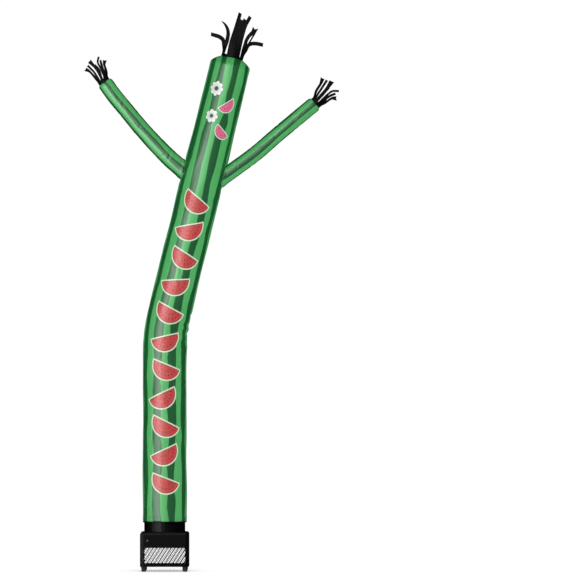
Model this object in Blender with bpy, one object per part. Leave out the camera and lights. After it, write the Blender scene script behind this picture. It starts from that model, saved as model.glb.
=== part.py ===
"""Inflatable air dancer standing on its blower.

A cloth tube rises from the blower's collar, bends and leans to the viewer's right. Two cloth arms
are sewn to it below the face, and black fringe stands on the head and on both wrists. The blower is
a moulded plastic box in two halves with lattice grilles, a round collar, four feet and a rocker
switch. Units are metres, +Z is up and the front faces -Y. Left and right are the viewer's.
"""

import math

import bmesh
import bpy
import numpy as np
from mathutils import Matrix, Vector
from mathutils.bvhtree import BVHTree

# Clearances and the thickness of the materials
GAP = 0.0003
ROOT_GAP = 0.0011
CLOTH = 0.0012
RIBBON = 0.0016
WALL = 0.005

# Blower box
BOX = 0.268
BOX_BOTTOM = 0.027
BOX_TOP = 0.215
BOX_CORNER = 0.018
BOX_TOP_ROUND = 0.012

# Collar on the box, turned about the blower's axis
COLLAR_RADIUS = 0.113
COLLAR_BORE = 0.1085
COLLAR_TOP = 0.307
FLANGE_RADIUS = 0.1165
FLANGE_HEIGHT = 0.004
BEAD_RADIUS = 0.121
BEAD_CENTRE = 0.271
BEAD_HEIGHT = 0.010
COLLAR_FILLET = 0.004
COLLAR_SIDES = 40

# Screw wells: one in each upright corner, and two beside the collar
CORNER_WELL_RADIUS = 0.007
CORNER_WELL_HEIGHT = 0.010
COLLAR_WELL_RADIUS = 0.008
COLLAR_WELL_ORBIT = 0.1195
COLLAR_WELL_ANGLE = 73.0

# Grille windows and the lattice in them
WINDOW_SIDE = 0.018
WINDOW_BOTTOM = 0.036
WINDOW_TOP = 0.133
WINDOW_ROUND = 0.012
CENTRE_STRIP = 0.018
LATTICE_THICKNESS = 0.003
LATTICE_RECESS = 0.001
LATTICE_RIM = 0.0025
DIAMOND_PITCH = 0.020
DIAMOND_HEIGHT = (WINDOW_TOP - WINDOW_BOTTOM) / 3.0
DIAMOND_BAR = 0.0030
SMALLEST_HOLE = 0.00004

# Feet and base plate
FOOT_PLACE = 0.113
FOOT_TOP_RADIUS = 0.015
FOOT_BOTTOM_RADIUS = 0.0125
FOOT_ROUND = 0.002
FOOT_SIDES = 20
BASE_THICKNESS = 0.005

# Rocker switch on the front wall
SWITCH_X = -0.096
SWITCH_Z = 0.171
BEZEL_WIDTH = 0.025
BEZEL_HEIGHT = 0.020
BEZEL_PROUD = 0.0025
SWITCH_OPENING_WIDTH = 0.019
SWITCH_OPENING_HEIGHT = 0.013
SWITCH_CUP_WALL = 0.001
SWITCH_CUP_DEPTH = 0.012
ROCKER_HALF_LENGTH = 0.0082
ROCKER_PROUD = 0.0040
ROCKER_DIP = 0.0022
ROCKER_KEEL_DEPTH = 0.0050
ROCKER_KEEL_HALF = 0.0040
ROCKER_TILT = 11.0

# Tube: its centre line stands upright to the bend, then leans along a straight line
HEM_Z = 0.2745
RIM_Z = 2.785
BEND_Z = 1.313
BEND_SOFTNESS = 0.05
LEAN = 0.2456
TUBE_SIDES = 32
TUBE_DIAMETERS = (
    # height, diameter
    (0.27, 0.2410),
    (1.30, 0.2400),
    (2.15, 0.2330),
    (2.48, 0.2270),
    (2.79, 0.2210),
)
TUBE_RINGS = (
    # height at the band's top, rings in the band
    (0.300, 1),
    (1.180, 4),
    (1.500, 12),
    (2.060, 3),
    (2.360, 2),
    (RIM_Z, 3),
)
TUBE_FOLDS = (
    # height, angle from the front in degrees, half height, half angle, depth, slope in metres per degree
    (1.265, 62.0, 0.016, 46.0, 0.0060, 0.00022),
    (1.318, 84.0, 0.018, 58.0, 0.0085, -0.00012),
    (1.372, 70.0, 0.017, 50.0, 0.0070, 0.00016),
    (1.425, 96.0, 0.015, 40.0, 0.0045, -0.00020),
)

# Caps that close the tube and the arms
HEAD_DOME = 0.045
HEAD_DOME_RINGS = (1.0, 0.90, 0.74, 0.52, 0.26)
ARM_DOME = 0.013
ARM_DOME_RINGS = (1.0, 0.80, 0.45)

# Arms, from the tube's wall to the wrist
ARM_SIDES = 18
ARM_CLEAR = 0.072
ARM_HOLE_MARGIN = 0.003
ARM_RINGS = 8
LEFT_ARM = (
    # x, z, diameter
    (0.101, 2.205, 0.098),
    (0.037, 2.260, 0.096),
    (-0.043, 2.340, 0.092),
    (-0.123, 2.427, 0.089),
    (-0.215, 2.538, 0.087),
    (-0.274, 2.609, 0.087),
    (-0.327, 2.682, 0.086),
)
RIGHT_ARM = (
    # x, z, diameter
    (0.315, 2.161, 0.087),
    (0.392, 2.216, 0.086),
    (0.509, 2.303, 0.085),
    (0.609, 2.390, 0.084),
    (0.710, 2.4745, 0.084),
    (0.822, 2.567, 0.084),
)

# Fringe: strips cut in a short tube of ribbon, whose uncut root stands on a cap
STRIP_SECTIONS = 5
HAIR_RADIUS = 0.057
HAIR_ROOT = 0.014
HAIR = (
    # angle from the front, width, tip x, tip y, tip z, tip width, tip slant, rise before it turns
    (-158.0, 0.026, 0.365, 0.075, 2.985, 0.022, 0.010, 0.60),
    (-124.0, 0.024, 0.330, 0.085, 2.945, 0.020, -0.008, 0.62),
    (-91.0, 0.019, 0.259, -0.004, 2.951, 0.017, 0.008, 0.92),
    (-60.0, 0.022, 0.316, -0.040, 3.020, 0.003, 0.002, 0.88),
    (-22.0, 0.034, 0.421, -0.062, 3.048, 0.030, -0.036, 0.55),
    (17.0, 0.032, 0.459, -0.056, 3.036, 0.028, 0.030, 0.50),
    (52.0, 0.019, 0.505, -0.050, 2.983, 0.022, 0.014, 0.72),
    (84.0, 0.019, 0.540, -0.012, 2.896, 0.017, 0.004, 0.90),
    (118.0, 0.022, 0.492, 0.072, 2.935, 0.018, 0.010, 0.66),
    (158.0, 0.028, 0.432, 0.082, 3.010, 0.024, -0.012, 0.58),
)
HAND_RADIUS = 0.035
HAND_ROOT = 0.014
LEFT_HAND = (
    # angle from the front, width, tip x, tip y, tip z, tip width, tip slant, rise before it turns
    (-158.0, 0.0150, -0.398, 0.040, 2.796, 0.014, 0.006, 0.50),
    (-118.0, 0.0150, -0.420, 0.030, 2.770, 0.013, -0.004, 0.45),
    (-82.0, 0.0130, -0.434, -0.004, 2.763, 0.021, 0.010, 0.60),
    (-54.0, 0.0120, -0.422, -0.022, 2.777, 0.014, -0.004, 0.52),
    (-18.0, 0.0210, -0.402, -0.036, 2.803, 0.022, -0.010, 0.50),
    (22.0, 0.0130, -0.364, -0.044, 2.824, 0.010, 0.003, 0.62),
    (49.0, 0.0140, -0.350, -0.024, 2.807, 0.013, 0.003, 0.62),
    (80.0, 0.0150, -0.328, -0.006, 2.806, 0.020, 0.006, 0.60),
    (120.0, 0.0160, -0.340, 0.032, 2.800, 0.014, 0.006, 0.55),
    (162.0, 0.0150, -0.372, 0.044, 2.812, 0.013, -0.006, 0.50),
)
RIGHT_HAND = (
    # angle from the front, width, tip x, tip y, tip z, tip width, tip slant, rise before it turns
    (-158.0, 0.0150, 0.892, 0.042, 2.690, 0.014, 0.006, 0.50),
    (-118.0, 0.0150, 0.874, 0.032, 2.699, 0.013, -0.004, 0.45),
    (-80.0, 0.0130, 0.866, -0.004, 2.712, 0.020, 0.008, 0.55),
    (-52.0, 0.0120, 0.891, -0.024, 2.702, 0.013, -0.003, 0.52),
    (-17.0, 0.0210, 0.921, -0.038, 2.690, 0.023, -0.008, 0.50),
    (23.0, 0.0130, 0.957, -0.044, 2.640, 0.010, 0.002, 0.66),
    (51.0, 0.0140, 0.941, -0.024, 2.622, 0.013, 0.003, 0.66),
    (82.0, 0.0150, 0.942, -0.006, 2.592, 0.019, 0.008, 0.60),
    (122.0, 0.0160, 0.925, 0.032, 2.610, 0.014, 0.006, 0.55),
    (164.0, 0.0150, 0.934, 0.044, 2.652, 0.013, -0.006, 0.50),
)

# The part's origin lies under the middle of its width, and the blower stands to the left of it
REACH_LEFT = -0.442
REACH_RIGHT = 0.957
SMOOTH_ANGLE = math.radians(40)

FRONT = Vector((0.0, -1.0, 0.0))
BACK = Vector((0.0, 1.0, 0.0))
UP = Vector((0.0, 0.0, 1.0))


def clear_scene():
    for old in list(bpy.data.objects):
        bpy.data.objects.remove(old)


def make_material(name, colour, roughness, metallic=0.0):
    material = bpy.data.materials.new(name)
    material.use_nodes = True
    shader = material.node_tree.nodes["Principled BSDF"]
    shader.inputs["Base Color"].default_value = (*colour, 1.0)
    shader.inputs["Roughness"].default_value = roughness
    shader.inputs["Metallic"].default_value = metallic
    return material


def add_object(name, shape, finish, home, location=(0.0, 0.0, 0.0)):
    """Turns a bmesh into an object of its own material under the blower's empty."""
    bmesh.ops.recalc_face_normals(shape, faces=shape.faces[:])
    mesh = bpy.data.meshes.new(name)
    shape.to_mesh(mesh)
    shape.free()
    mesh.shade_smooth()
    mesh.set_sharp_from_angle(angle=SMOOTH_ANGLE)
    made = bpy.data.objects.new(name, mesh)
    bpy.context.scene.collection.objects.link(made)
    made.parent = home
    made.location = location
    mesh.materials.append(make_material(name, *finish))
    return made


def add_cutter(name, shape, home, location=(0.0, 0.0, 0.0)):
    cutter = add_object(name, shape, ((0.5, 0.5, 0.5), 0.5), home, location)
    cutter.hide_render = True
    cutter.display_type = "WIRE"
    return cutter


def combine(target, other, operation):
    modifier = target.modifiers.new(f"{operation.lower()} {other.name}", "BOOLEAN")
    modifier.operation = operation
    modifier.solver = "EXACT"
    modifier.object = other


def settle(target):
    """Applies a piece's cuts and marks the sharp edges on the faces that they leave."""
    graph = bpy.context.evaluated_depsgraph_get()
    mesh = bpy.data.meshes.new_from_object(target.evaluated_get(graph))
    target.modifiers.clear()
    target.data = mesh
    mesh.shade_smooth()
    mesh.set_sharp_from_angle(angle=SMOOTH_ANGLE)


def skin(rings, closed=False):
    """Covers a row of rings with faces. A ring of one point is a pole, and closed joins last to first."""
    shape = bmesh.new()
    made = [[shape.verts.new(point) for point in ring] for ring in rings]
    pairs = list(zip(made, made[1:]))
    if closed:
        pairs.append((made[-1], made[0]))
    for lower, upper in pairs:
        sides = max(len(lower), len(upper))
        for index in range(sides):
            after = (index + 1) % sides
            if len(lower) == 1:
                shape.faces.new((lower[0], upper[after], upper[index]))
            elif len(upper) == 1:
                shape.faces.new((lower[index], lower[after], upper[0]))
            else:
                shape.faces.new((lower[index], lower[after], upper[after], upper[index]))
    return shape


def prism(outline, start, end, across, along, depth_way):
    """A flat outline of (u, v) points, extruded from one depth to another."""
    rings = [[across * u + along * v + depth_way * depth for u, v in outline] for depth in (start, end)]
    shape = skin(rings)
    shape.verts.ensure_lookup_table()
    count = len(outline)
    shape.faces.new([shape.verts[index] for index in range(count)])
    shape.faces.new([shape.verts[count + index] for index in reversed(range(count))])
    return shape


def turned(profile, sides):
    """A closed solid of revolution about Z from (radius, z) points that start and end on the axis."""
    rings = []
    for radius, height in profile:
        if radius == 0.0:
            rings.append([Vector((0.0, 0.0, height))])
            continue
        angles = [2.0 * math.pi * index / sides for index in range(sides)]
        rings.append([Vector((radius * math.sin(a), -radius * math.cos(a), height)) for a in angles])
    return skin(rings)


def arc(centre_u, centre_v, radius, start, end, steps):
    """Points along an arc, with its angles in degrees from the u axis."""
    angles = np.radians(np.linspace(start, end, steps + 1))
    return [(centre_u + radius * math.cos(a), centre_v + radius * math.sin(a)) for a in angles]


def rounded_square(half, corner, steps=5):
    inner = half - corner
    points = []
    for quarter in range(4):
        start = 90.0 * quarter
        turn = math.radians(start + 45.0)
        centre_u = math.copysign(inner, math.cos(turn))
        centre_v = math.copysign(inner, math.sin(turn))
        points += arc(centre_u, centre_v, corner, start, start + 90.0, steps)
    return points


def rounded_block(half, bottom, top, corner, top_round):
    """A square block with round upright edges, and a round edge around its top."""
    steps = 4
    rings = [[Vector((u, v, bottom)) for u, v in rounded_square(half, corner)]]
    for index in range(steps + 1):
        turn = math.radians(90.0 * index / steps)
        inset = top_round * (1.0 - math.cos(turn))
        height = top - top_round * (1.0 - math.sin(turn))
        outline = rounded_square(half - inset, corner - inset)
        rings.append([Vector((u, v, height)) for u, v in outline])
    shape = skin(rings)
    shape.verts.ensure_lookup_table()
    count = len(rings[0])
    last = len(shape.verts) - count
    shape.faces.new([shape.verts[index] for index in range(count)])
    shape.faces.new([shape.verts[last + index] for index in range(count)])
    return shape


def collar_solid():
    """The collar's outer form, with its bead and flange, from inside the box up to the rim."""
    half_bead = BEAD_HEIGHT / 2.0
    foot = BOX_TOP + COLLAR_FILLET
    profile = [(0.0, BOX_TOP - WALL / 2.0), (COLLAR_RADIUS + COLLAR_FILLET, BOX_TOP - WALL / 2.0)]
    profile += [(COLLAR_RADIUS + COLLAR_FILLET, BOX_TOP + 0.0005), (COLLAR_RADIUS, foot)]
    profile += [(COLLAR_RADIUS, BEAD_CENTRE - half_bead)]
    profile += [(BEAD_RADIUS, BEAD_CENTRE - half_bead / 2.0), (BEAD_RADIUS, BEAD_CENTRE + half_bead / 2.0)]
    profile += [(COLLAR_RADIUS, BEAD_CENTRE + half_bead), (COLLAR_RADIUS, COLLAR_TOP - 2.0 * FLANGE_HEIGHT)]
    profile += [(FLANGE_RADIUS, COLLAR_TOP - FLANGE_HEIGHT), (FLANGE_RADIUS, COLLAR_TOP - 0.001)]
    profile += [(FLANGE_RADIUS - 0.001, COLLAR_TOP), (0.0, COLLAR_TOP)]
    return turned(profile, COLLAR_SIDES)


def window_outline(low, high, grow=0.0):
    """A grille window between two places across the wall, with round upper corners."""
    radius = WINDOW_ROUND + grow
    top = WINDOW_TOP + grow - radius
    points = [(low - grow, WINDOW_BOTTOM - grow), (high + grow, WINDOW_BOTTOM - grow)]
    points += arc(high + grow - radius, top, radius, 0.0, 90.0, 4)
    points += arc(low - grow + radius, top, radius, 90.0, 180.0, 4)
    return points


def clipped(outline, window):
    """The part of a convex outline that lies inside a convex window, both running anticlockwise."""
    for start, end in zip(window, window[1:] + window[:1]):
        way = (end[0] - start[0], end[1] - start[1])
        sides = [way[0] * (v - start[1]) - way[1] * (u - start[0]) for u, v in outline]
        kept = []
        for index, point in enumerate(outline):
            before = index - 1
            if (sides[index] > 0.0) != (sides[before] > 0.0):
                share = sides[before] / (sides[before] - sides[index])
                last = outline[before]
                kept.append((last[0] + share * (point[0] - last[0]), last[1] + share * (point[1] - last[1])))
            if sides[index] > 0.0:
                kept.append(point)
        outline = kept
        if not outline:
            return []
    return outline


def area(outline):
    pairs = zip(outline, outline[1:] + outline[:1])
    return sum(a[0] * b[1] - b[0] * a[1] for a, b in pairs) / 2.0


def diamond_holes(low, high):
    """Outlines of the lattice's diamonds between two places across a wall, cut off at the rim."""
    window = window_outline(low, high, -LATTICE_RIM)
    middle = (low + high) / 2.0
    centre_height = (WINDOW_BOTTOM + WINDOW_TOP) / 2.0
    slope = math.hypot(DIAMOND_PITCH, DIAMOND_HEIGHT)
    half_width = DIAMOND_PITCH / 2.0 - DIAMOND_BAR * slope / DIAMOND_HEIGHT / 2.0
    half_height = DIAMOND_HEIGHT / 2.0 - DIAMOND_BAR * slope / DIAMOND_PITCH / 2.0
    across = int((high - low) / DIAMOND_PITCH) + 2
    holes = []
    for row in range(-4, 5):
        for column in range(-across, across + 1):
            if (row + column) % 2:
                continue
            u = middle + column * DIAMOND_PITCH / 2.0
            v = centre_height + row * DIAMOND_HEIGHT / 2.0
            diamond = [(u + half_width, v), (u, v + half_height), (u - half_width, v), (u, v - half_height)]
            hole = clipped(diamond, window)
            if len(hole) > 2 and area(hole) > SMALLEST_HOLE:
                holes.append(hole)
    return holes


def wall_frames():
    """The four walls: name, way along the wall, way out of it, and the windows' ends along it."""
    edge = BOX / 2.0 - WINDOW_SIDE
    strip = CENTRE_STRIP / 2.0
    right = Vector((1.0, 0.0, 0.0))
    return (
        ("front", right, FRONT, (("", -edge, edge),)),
        ("rear", -right, BACK, (("", -edge, edge),)),
        ("left", FRONT, -right, (("_rear", -edge, -strip), ("_front", strip, edge))),
        ("right", BACK, right, (("_front", -edge, -strip), ("_rear", strip, edge))),
    )


def join_shapes(shapes):
    """Gathers several closed shapes that lie apart into one bmesh."""
    whole = bmesh.new()
    for shape in shapes:
        mesh = bpy.data.meshes.new("piece")
        bmesh.ops.recalc_face_normals(shape, faces=shape.faces[:])
        shape.to_mesh(mesh)
        shape.free()
        whole.from_mesh(mesh)
        bpy.data.meshes.remove(mesh)
    return whole


def add_grilles(home, finish):
    """Sets a lattice panel in each window and returns the cutter that opens the windows."""
    outer = BOX / 2.0
    openings = []
    for wall, along, out, spans in wall_frames():
        for part, low, high in spans:
            outline = window_outline(low, high)
            openings.append(prism(outline, outer - 3.0 * WALL, outer + WALL, along, UP, out))
            front = outer - LATTICE_RECESS
            panel = prism(window_outline(low, high, -GAP), front - LATTICE_THICKNESS, front, along, UP, out)
            grille = add_object(f"grille_{wall}{part}", panel, finish, home)
            depth = (front - 2.0 * LATTICE_THICKNESS, front + LATTICE_THICKNESS)
            holes = [prism(hole, *depth, along, UP, out) for hole in diamond_holes(low, high)]
            combine(grille, add_cutter(f"diamonds_{wall}{part}", join_shapes(holes), home), "DIFFERENCE")
            settle(grille)
    return add_cutter("windows", join_shapes(openings), home)


def screw_wells():
    """Round wells: one across each upright corner at its foot, and two down beside the collar."""
    shapes = []
    reach = BOX / 2.0 - BOX_CORNER + BOX_CORNER / math.sqrt(2.0)
    for right in (-1.0, 1.0):
        for back in (-1.0, 1.0):
            well = bmesh.new()
            bmesh.ops.create_cone(
                well, cap_ends=True, segments=20, radius1=CORNER_WELL_RADIUS, radius2=CORNER_WELL_RADIUS,
                depth=4.0 * WALL,
            )
            turn = Vector((right, back, 0.0)).to_track_quat("Z", "Y").to_matrix().to_4x4()
            place = Matrix.Translation((right * reach, back * reach, BOX_BOTTOM + CORNER_WELL_HEIGHT))
            bmesh.ops.transform(well, matrix=place @ turn, verts=well.verts[:])
            shapes.append(well)
        well = bmesh.new()
        bmesh.ops.create_cone(
            well, cap_ends=True, segments=20, radius1=COLLAR_WELL_RADIUS, radius2=COLLAR_WELL_RADIUS,
            depth=3.0 * WALL,
        )
        turn = math.radians(COLLAR_WELL_ANGLE)
        spot = Vector((right * math.sin(turn), -math.cos(turn), 0.0)) * COLLAR_WELL_ORBIT
        spot.z = BOX_TOP
        bmesh.ops.translate(well, vec=spot, verts=well.verts[:])
        shapes.append(well)
    return join_shapes(shapes)


def box_shape(low, high):
    shape = bmesh.new()
    bmesh.ops.create_cube(shape, size=1.0)
    size = Vector(high) - Vector(low)
    middle = (Vector(high) + Vector(low)) / 2.0
    bmesh.ops.scale(shape, vec=size, verts=shape.verts[:])
    bmesh.ops.translate(shape, vec=middle, verts=shape.verts[:])
    return shape


def switch_cutout():
    """The hole in the front wall that the switch's cup goes through."""
    half_width = SWITCH_OPENING_WIDTH / 2.0 + SWITCH_CUP_WALL + GAP
    half_height = SWITCH_OPENING_HEIGHT / 2.0 + SWITCH_CUP_WALL + GAP
    face = -BOX / 2.0
    low = (SWITCH_X - half_width, face - WALL, SWITCH_Z - half_height)
    high = (SWITCH_X + half_width, face + 2.0 * WALL, SWITCH_Z + half_height)
    return box_shape(low, high)


def add_housing(home, windows):
    """The two moulded halves of the box and collar, which meet in the plane of the collar's axis."""
    finish = ((0.012, 0.012, 0.013), 0.38)
    half = BOX / 2.0
    far = 2.0 * BOX
    collar = add_cutter("collar_form", collar_solid(), home)
    inside = rounded_block(half - WALL, BOX_BOTTOM - WALL, BOX_TOP - WALL, BOX_CORNER - WALL, BOX_TOP_ROUND - WALL)
    cavity = add_cutter("cavity", inside, home)
    bore_profile = [(0.0, BOX_TOP - 3.0 * WALL), (COLLAR_BORE, BOX_TOP - 3.0 * WALL)]
    bore_profile += [(COLLAR_BORE, COLLAR_TOP + WALL), (0.0, COLLAR_TOP + WALL)]
    bore = add_cutter("bore", turned(bore_profile, COLLAR_SIDES), home)
    wells = add_cutter("wells", screw_wells(), home)
    cutout = add_cutter("switch_cutout", switch_cutout(), home)
    for part, side in (("front", 1.0), ("rear", -1.0)):
        outer = rounded_block(half, BOX_BOTTOM, BOX_TOP, BOX_CORNER, BOX_TOP_ROUND)
        shell = add_object(f"housing_{part}", outer, finish, home)
        combine(shell, collar, "UNION")
        for cutter in (cavity, bore, windows, wells, cutout):
            combine(shell, cutter, "DIFFERENCE")
        near = -side * GAP / 2.0
        low_y, high_y = sorted((near, side * far))
        other_half = add_cutter(f"beyond_{part}", box_shape((-far, low_y, -far), (far, high_y, far)), home)
        combine(shell, other_half, "DIFFERENCE")
        settle(shell)


def add_base_and_feet(home):
    half = BOX / 2.0 - WALL - GAP
    outline = rounded_square(half, BOX_CORNER - WALL)
    plate = prism(outline, BOX_BOTTOM, BOX_BOTTOM + BASE_THICKNESS, Vector((1, 0, 0)), BACK, UP)
    add_object("base_plate", plate, ((0.012, 0.012, 0.013), 0.5), home)
    top = BOX_BOTTOM - GAP
    profile = [(0.0, 0.0), (FOOT_BOTTOM_RADIUS - FOOT_ROUND, 0.0), (FOOT_BOTTOM_RADIUS, FOOT_ROUND)]
    profile += [(FOOT_TOP_RADIUS, top), (0.0, top)]
    for back, depth in ((-1.0, "front"), (1.0, "rear")):
        for right, side in ((-1.0, "left"), (1.0, "right")):
            place = (right * FOOT_PLACE, back * FOOT_PLACE, 0.0)
            foot = turned(profile, FOOT_SIDES)
            add_object(f"foot_{depth}_{side}", foot, ((0.015, 0.015, 0.015), 0.6), home, place)


def add_switch(home):
    """A rocker in a bezel. The rocker turns about the upright line through the bezel's face."""
    face = -BOX / 2.0 - GAP
    half_width = SWITCH_OPENING_WIDTH / 2.0
    half_height = SWITCH_OPENING_HEIGHT / 2.0
    plate = box_shape(
        (-BEZEL_WIDTH / 2.0, -BEZEL_PROUD, -BEZEL_HEIGHT / 2.0), (BEZEL_WIDTH / 2.0, 0.0, BEZEL_HEIGHT / 2.0)
    )
    rim = [edge for edge in plate.edges if all(v.co.y < -BEZEL_PROUD / 2.0 for v in edge.verts)]
    bmesh.ops.bevel(plate, geom=rim, offset=0.0010, segments=2, affect="EDGES")
    finish = ((0.010, 0.010, 0.010), 0.30)
    bezel = add_object("switch_bezel", plate, finish, home, (SWITCH_X, face, SWITCH_Z))
    grown_width = half_width + SWITCH_CUP_WALL
    grown_height = half_height + SWITCH_CUP_WALL
    cup_low = (-grown_width, -BEZEL_PROUD / 2.0, -grown_height)
    cup_form = box_shape(cup_low, (grown_width, SWITCH_CUP_DEPTH, grown_height))
    cup = add_cutter("switch_cup", cup_form, home, bezel.location)
    well_high = (half_width, SWITCH_CUP_DEPTH - SWITCH_CUP_WALL, half_height)
    well_form = box_shape((-half_width, -2.0 * BEZEL_PROUD, -half_height), well_high)
    well = add_cutter("switch_well", well_form, home, bezel.location)
    combine(bezel, cup, "UNION")
    combine(bezel, well, "DIFFERENCE")
    settle(bezel)
    outline = [(ROCKER_KEEL_HALF, ROCKER_KEEL_DEPTH), (-ROCKER_KEEL_HALF, ROCKER_KEEL_DEPTH)]
    outline += [(-ROCKER_HALF_LENGTH, 0.001), (-ROCKER_HALF_LENGTH, -ROCKER_PROUD)]
    outline += [(0.0, -ROCKER_DIP), (ROCKER_HALF_LENGTH, -ROCKER_PROUD), (ROCKER_HALF_LENGTH, 0.001)]
    reach = half_height - GAP
    key = prism(outline, -reach, reach, Vector((1, 0, 0)), BACK, UP)
    rocker = add_object("switch_rocker", key, ((0.03, 0.03, 0.032), 0.35), home, bezel.location)
    rocker.rotation_euler = (0.0, 0.0, math.radians(ROCKER_TILT))


def tube_centre(height):
    """The tube's centre at a height, and the way that its centre line runs there."""
    share = (height - BEND_Z) / BEND_SOFTNESS
    spread = math.log1p(math.exp(-abs(share))) + max(share, 0.0)
    slope = LEAN / (1.0 + math.exp(-share))
    return Vector((LEAN * BEND_SOFTNESS * spread, 0.0, height)), Vector((slope, 0.0, 1.0)).normalized()


def tube_radius(height, angle):
    """The tube's outer radius, with the folds that the bend presses into it."""
    heights, diameters = zip(*TUBE_DIAMETERS)
    radius = float(np.interp(height, heights, diameters)) / 2.0
    for middle, facing, half_height, half_angle, depth, slope in TUBE_FOLDS:
        turn = (math.degrees(angle) - facing + 180.0) % 360.0 - 180.0
        rise = height - middle - slope * turn
        radius -= depth * math.exp(-((rise / half_height) ** 2) - (turn / half_angle) ** 2)
    return radius


def ring_points(centre, way, radii):
    """Points around a centre line in the XZ plane, from the front towards the viewer's right."""
    right = Vector((way.z, 0.0, -way.x))
    count = len(radii)
    angles = [2.0 * math.pi * index / count for index in range(count)]
    return [centre + (right * math.sin(a) + FRONT * math.cos(a)) * r for a, r in zip(angles, radii)]


def tube_heights():
    heights = [HEM_Z]
    for top, rings in TUBE_RINGS:
        heights += list(np.linspace(heights[-1], top, rings + 1)[1:])
    return heights


def tube_rings(inset=0.0):
    rings = []
    for height in tube_heights():
        centre, way = tube_centre(height)
        angles = [2.0 * math.pi * index / TUBE_SIDES for index in range(TUBE_SIDES)]
        rings.append(ring_points(centre, way, [tube_radius(height, a) - inset for a in angles]))
    return rings


def add_tube(home, finish):
    shell = skin(tube_rings() + tube_rings(CLOTH)[::-1], closed=True)
    return add_object("body_tube", shell, finish, home)


def outer_surface():
    """The tube's outer face as a search tree, for seating the arms on it."""
    shape = skin(tube_rings())
    bmesh.ops.recalc_face_normals(shape, faces=shape.faces[:])
    tree = BVHTree.FromBMesh(shape)
    shape.free()
    return tree


def add_cap(name, centre, way, radius, rise, rings, sides, finish, home):
    """A domed disc that closes the end of a cloth tube, whose rim it meets."""
    start = centre + way * GAP
    inner_radius = radius - CLOTH
    rows = []
    for share in rings:
        lift = rise * (1.0 - share * share)
        rows.append(ring_points(start + way * (lift + CLOTH), way, [radius * share] * sides))
    inner = []
    for share in rings:
        lift = rise * (1.0 - share * share)
        inner.append(ring_points(start + way * lift, way, [inner_radius * share] * sides))
    rows = [[start + way * (rise + CLOTH)]] + rows[::-1] + inner + [[start + way * rise]]
    add_object(name, skin(rows), finish, home)


def dome_height(share, rise):
    return GAP + CLOTH + rise * (1.0 - share * share)


def smooth_line(rows, count):
    """Centres, ways and diameters at even steps along a smooth line through a table's rows."""
    table = np.array(rows)
    steps = np.linalg.norm(np.diff(table[:, :2], axis=0), axis=1)
    places = np.concatenate(([0.0], np.cumsum(steps)))
    slopes = np.gradient(table, places, axis=0)
    wanted = np.linspace(ARM_CLEAR, places[-1], count)
    found = []
    for place in wanted:
        index = min(int(np.searchsorted(places, place, side="right")) - 1, len(places) - 2)
        length = places[index + 1] - places[index]
        t = (place - places[index]) / length
        start, end = table[index], table[index + 1]
        start_pull, end_pull = slopes[index] * length, slopes[index + 1] * length
        value = start * (2 * t**3 - 3 * t**2 + 1) + start_pull * (t**3 - 2 * t**2 + t)
        value = value + end * (3 * t**2 - 2 * t**3) + end_pull * (t**3 - t**2)
        rate = start * (6 * t**2 - 6 * t) + start_pull * (3 * t**2 - 4 * t + 1)
        rate = rate + end * (6 * t - 6 * t**2) + end_pull * (3 * t**2 - 2 * t)
        centre = Vector((float(value[0]), 0.0, float(value[1])))
        way = Vector((float(rate[0]), 0.0, float(rate[1]))).normalized()
        found.append((centre, way, float(value[2])))
    return found


def add_arm(side, rows, tube, wall, finish, home):
    """A sleeve from the tube's wall to the wrist. Its root is cut to the wall, which it meets."""
    line = smooth_line(rows, ARM_RINGS)
    inwards = (Vector((rows[0][0] - rows[1][0], 0.0, rows[0][1] - rows[1][1]))).normalized()
    surfaces = []
    for inset in (0.0, CLOTH):
        rings = [ring_points(c, w, [d / 2.0 - inset] * ARM_SIDES) for c, w, d in line]
        root = []
        for point in rings[0]:
            hit, normal, _, _ = wall.ray_cast(point, inwards)
            root.append(hit + normal * ROOT_GAP)
        surfaces.append([root] + rings)
    outer, inner = surfaces
    add_object(f"arm_{side}", skin(outer + inner[::-1], closed=True), finish, home)
    centre, way, diameter = line[0]
    hole = diameter / 2.0 - CLOTH - ARM_HOLE_MARGIN
    deep = centre + inwards * (rows[0][2] + ARM_CLEAR)
    ends = [ring_points(spot, -inwards, [hole] * ARM_SIDES) for spot in (deep, centre)]
    cutter = add_cutter(f"arm_hole_{side}", skin([[deep]] + ends + [[centre]]), home)
    combine(tube, cutter, "DIFFERENCE")
    wrist, way, diameter = line[-1]
    add_cap(f"arm_cap_{side}", wrist, way, diameter / 2.0, ARM_DOME, ARM_DOME_RINGS, ARM_SIDES, finish, home)
    return wrist, way, diameter / 2.0


def strip_sections(start, axis, right, angle, row):
    """Four corners at each section of a strip, from its root towards its tip."""
    _, width, tip_x, tip_y, tip_z, tip_width, slant, rise = row
    tip = Vector((tip_x, tip_y, tip_z))
    reach = (tip - start).length
    turn = start + axis * (reach * rise)
    root_across = right * math.cos(angle) + BACK * math.sin(angle)
    sign = 1.0 if math.cos(angle) > -0.2 else -1.0
    sections = []
    for index in range(1, STRIP_SECTIONS + 1):
        t = index / STRIP_SECTIONS
        centre = start * (1 - t) ** 2 + turn * (2 * t * (1 - t)) + tip * t**2
        way = ((turn - start) * (1 - t) + (tip - turn) * t).normalized()
        in_plane = Vector((way.z, 0.0, -way.x)).normalized() * sign
        facing = root_across.lerp(in_plane, t * t * (3 - 2 * t))
        across = (facing - way * facing.dot(way)).normalized()
        out = way.cross(across).normalized() * -1.0
        half = (width + (tip_width - width) * t**3) / 2.0
        lean = way * (slant / 2.0 if index == STRIP_SECTIONS else 0.0)
        thick = RIBBON / 2.0
        low, high = centre - across * half - lean, centre + across * half + lean
        sections.append([low + out * thick, high + out * thick, high - out * thick, low - out * thick])
    return sections


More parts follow.
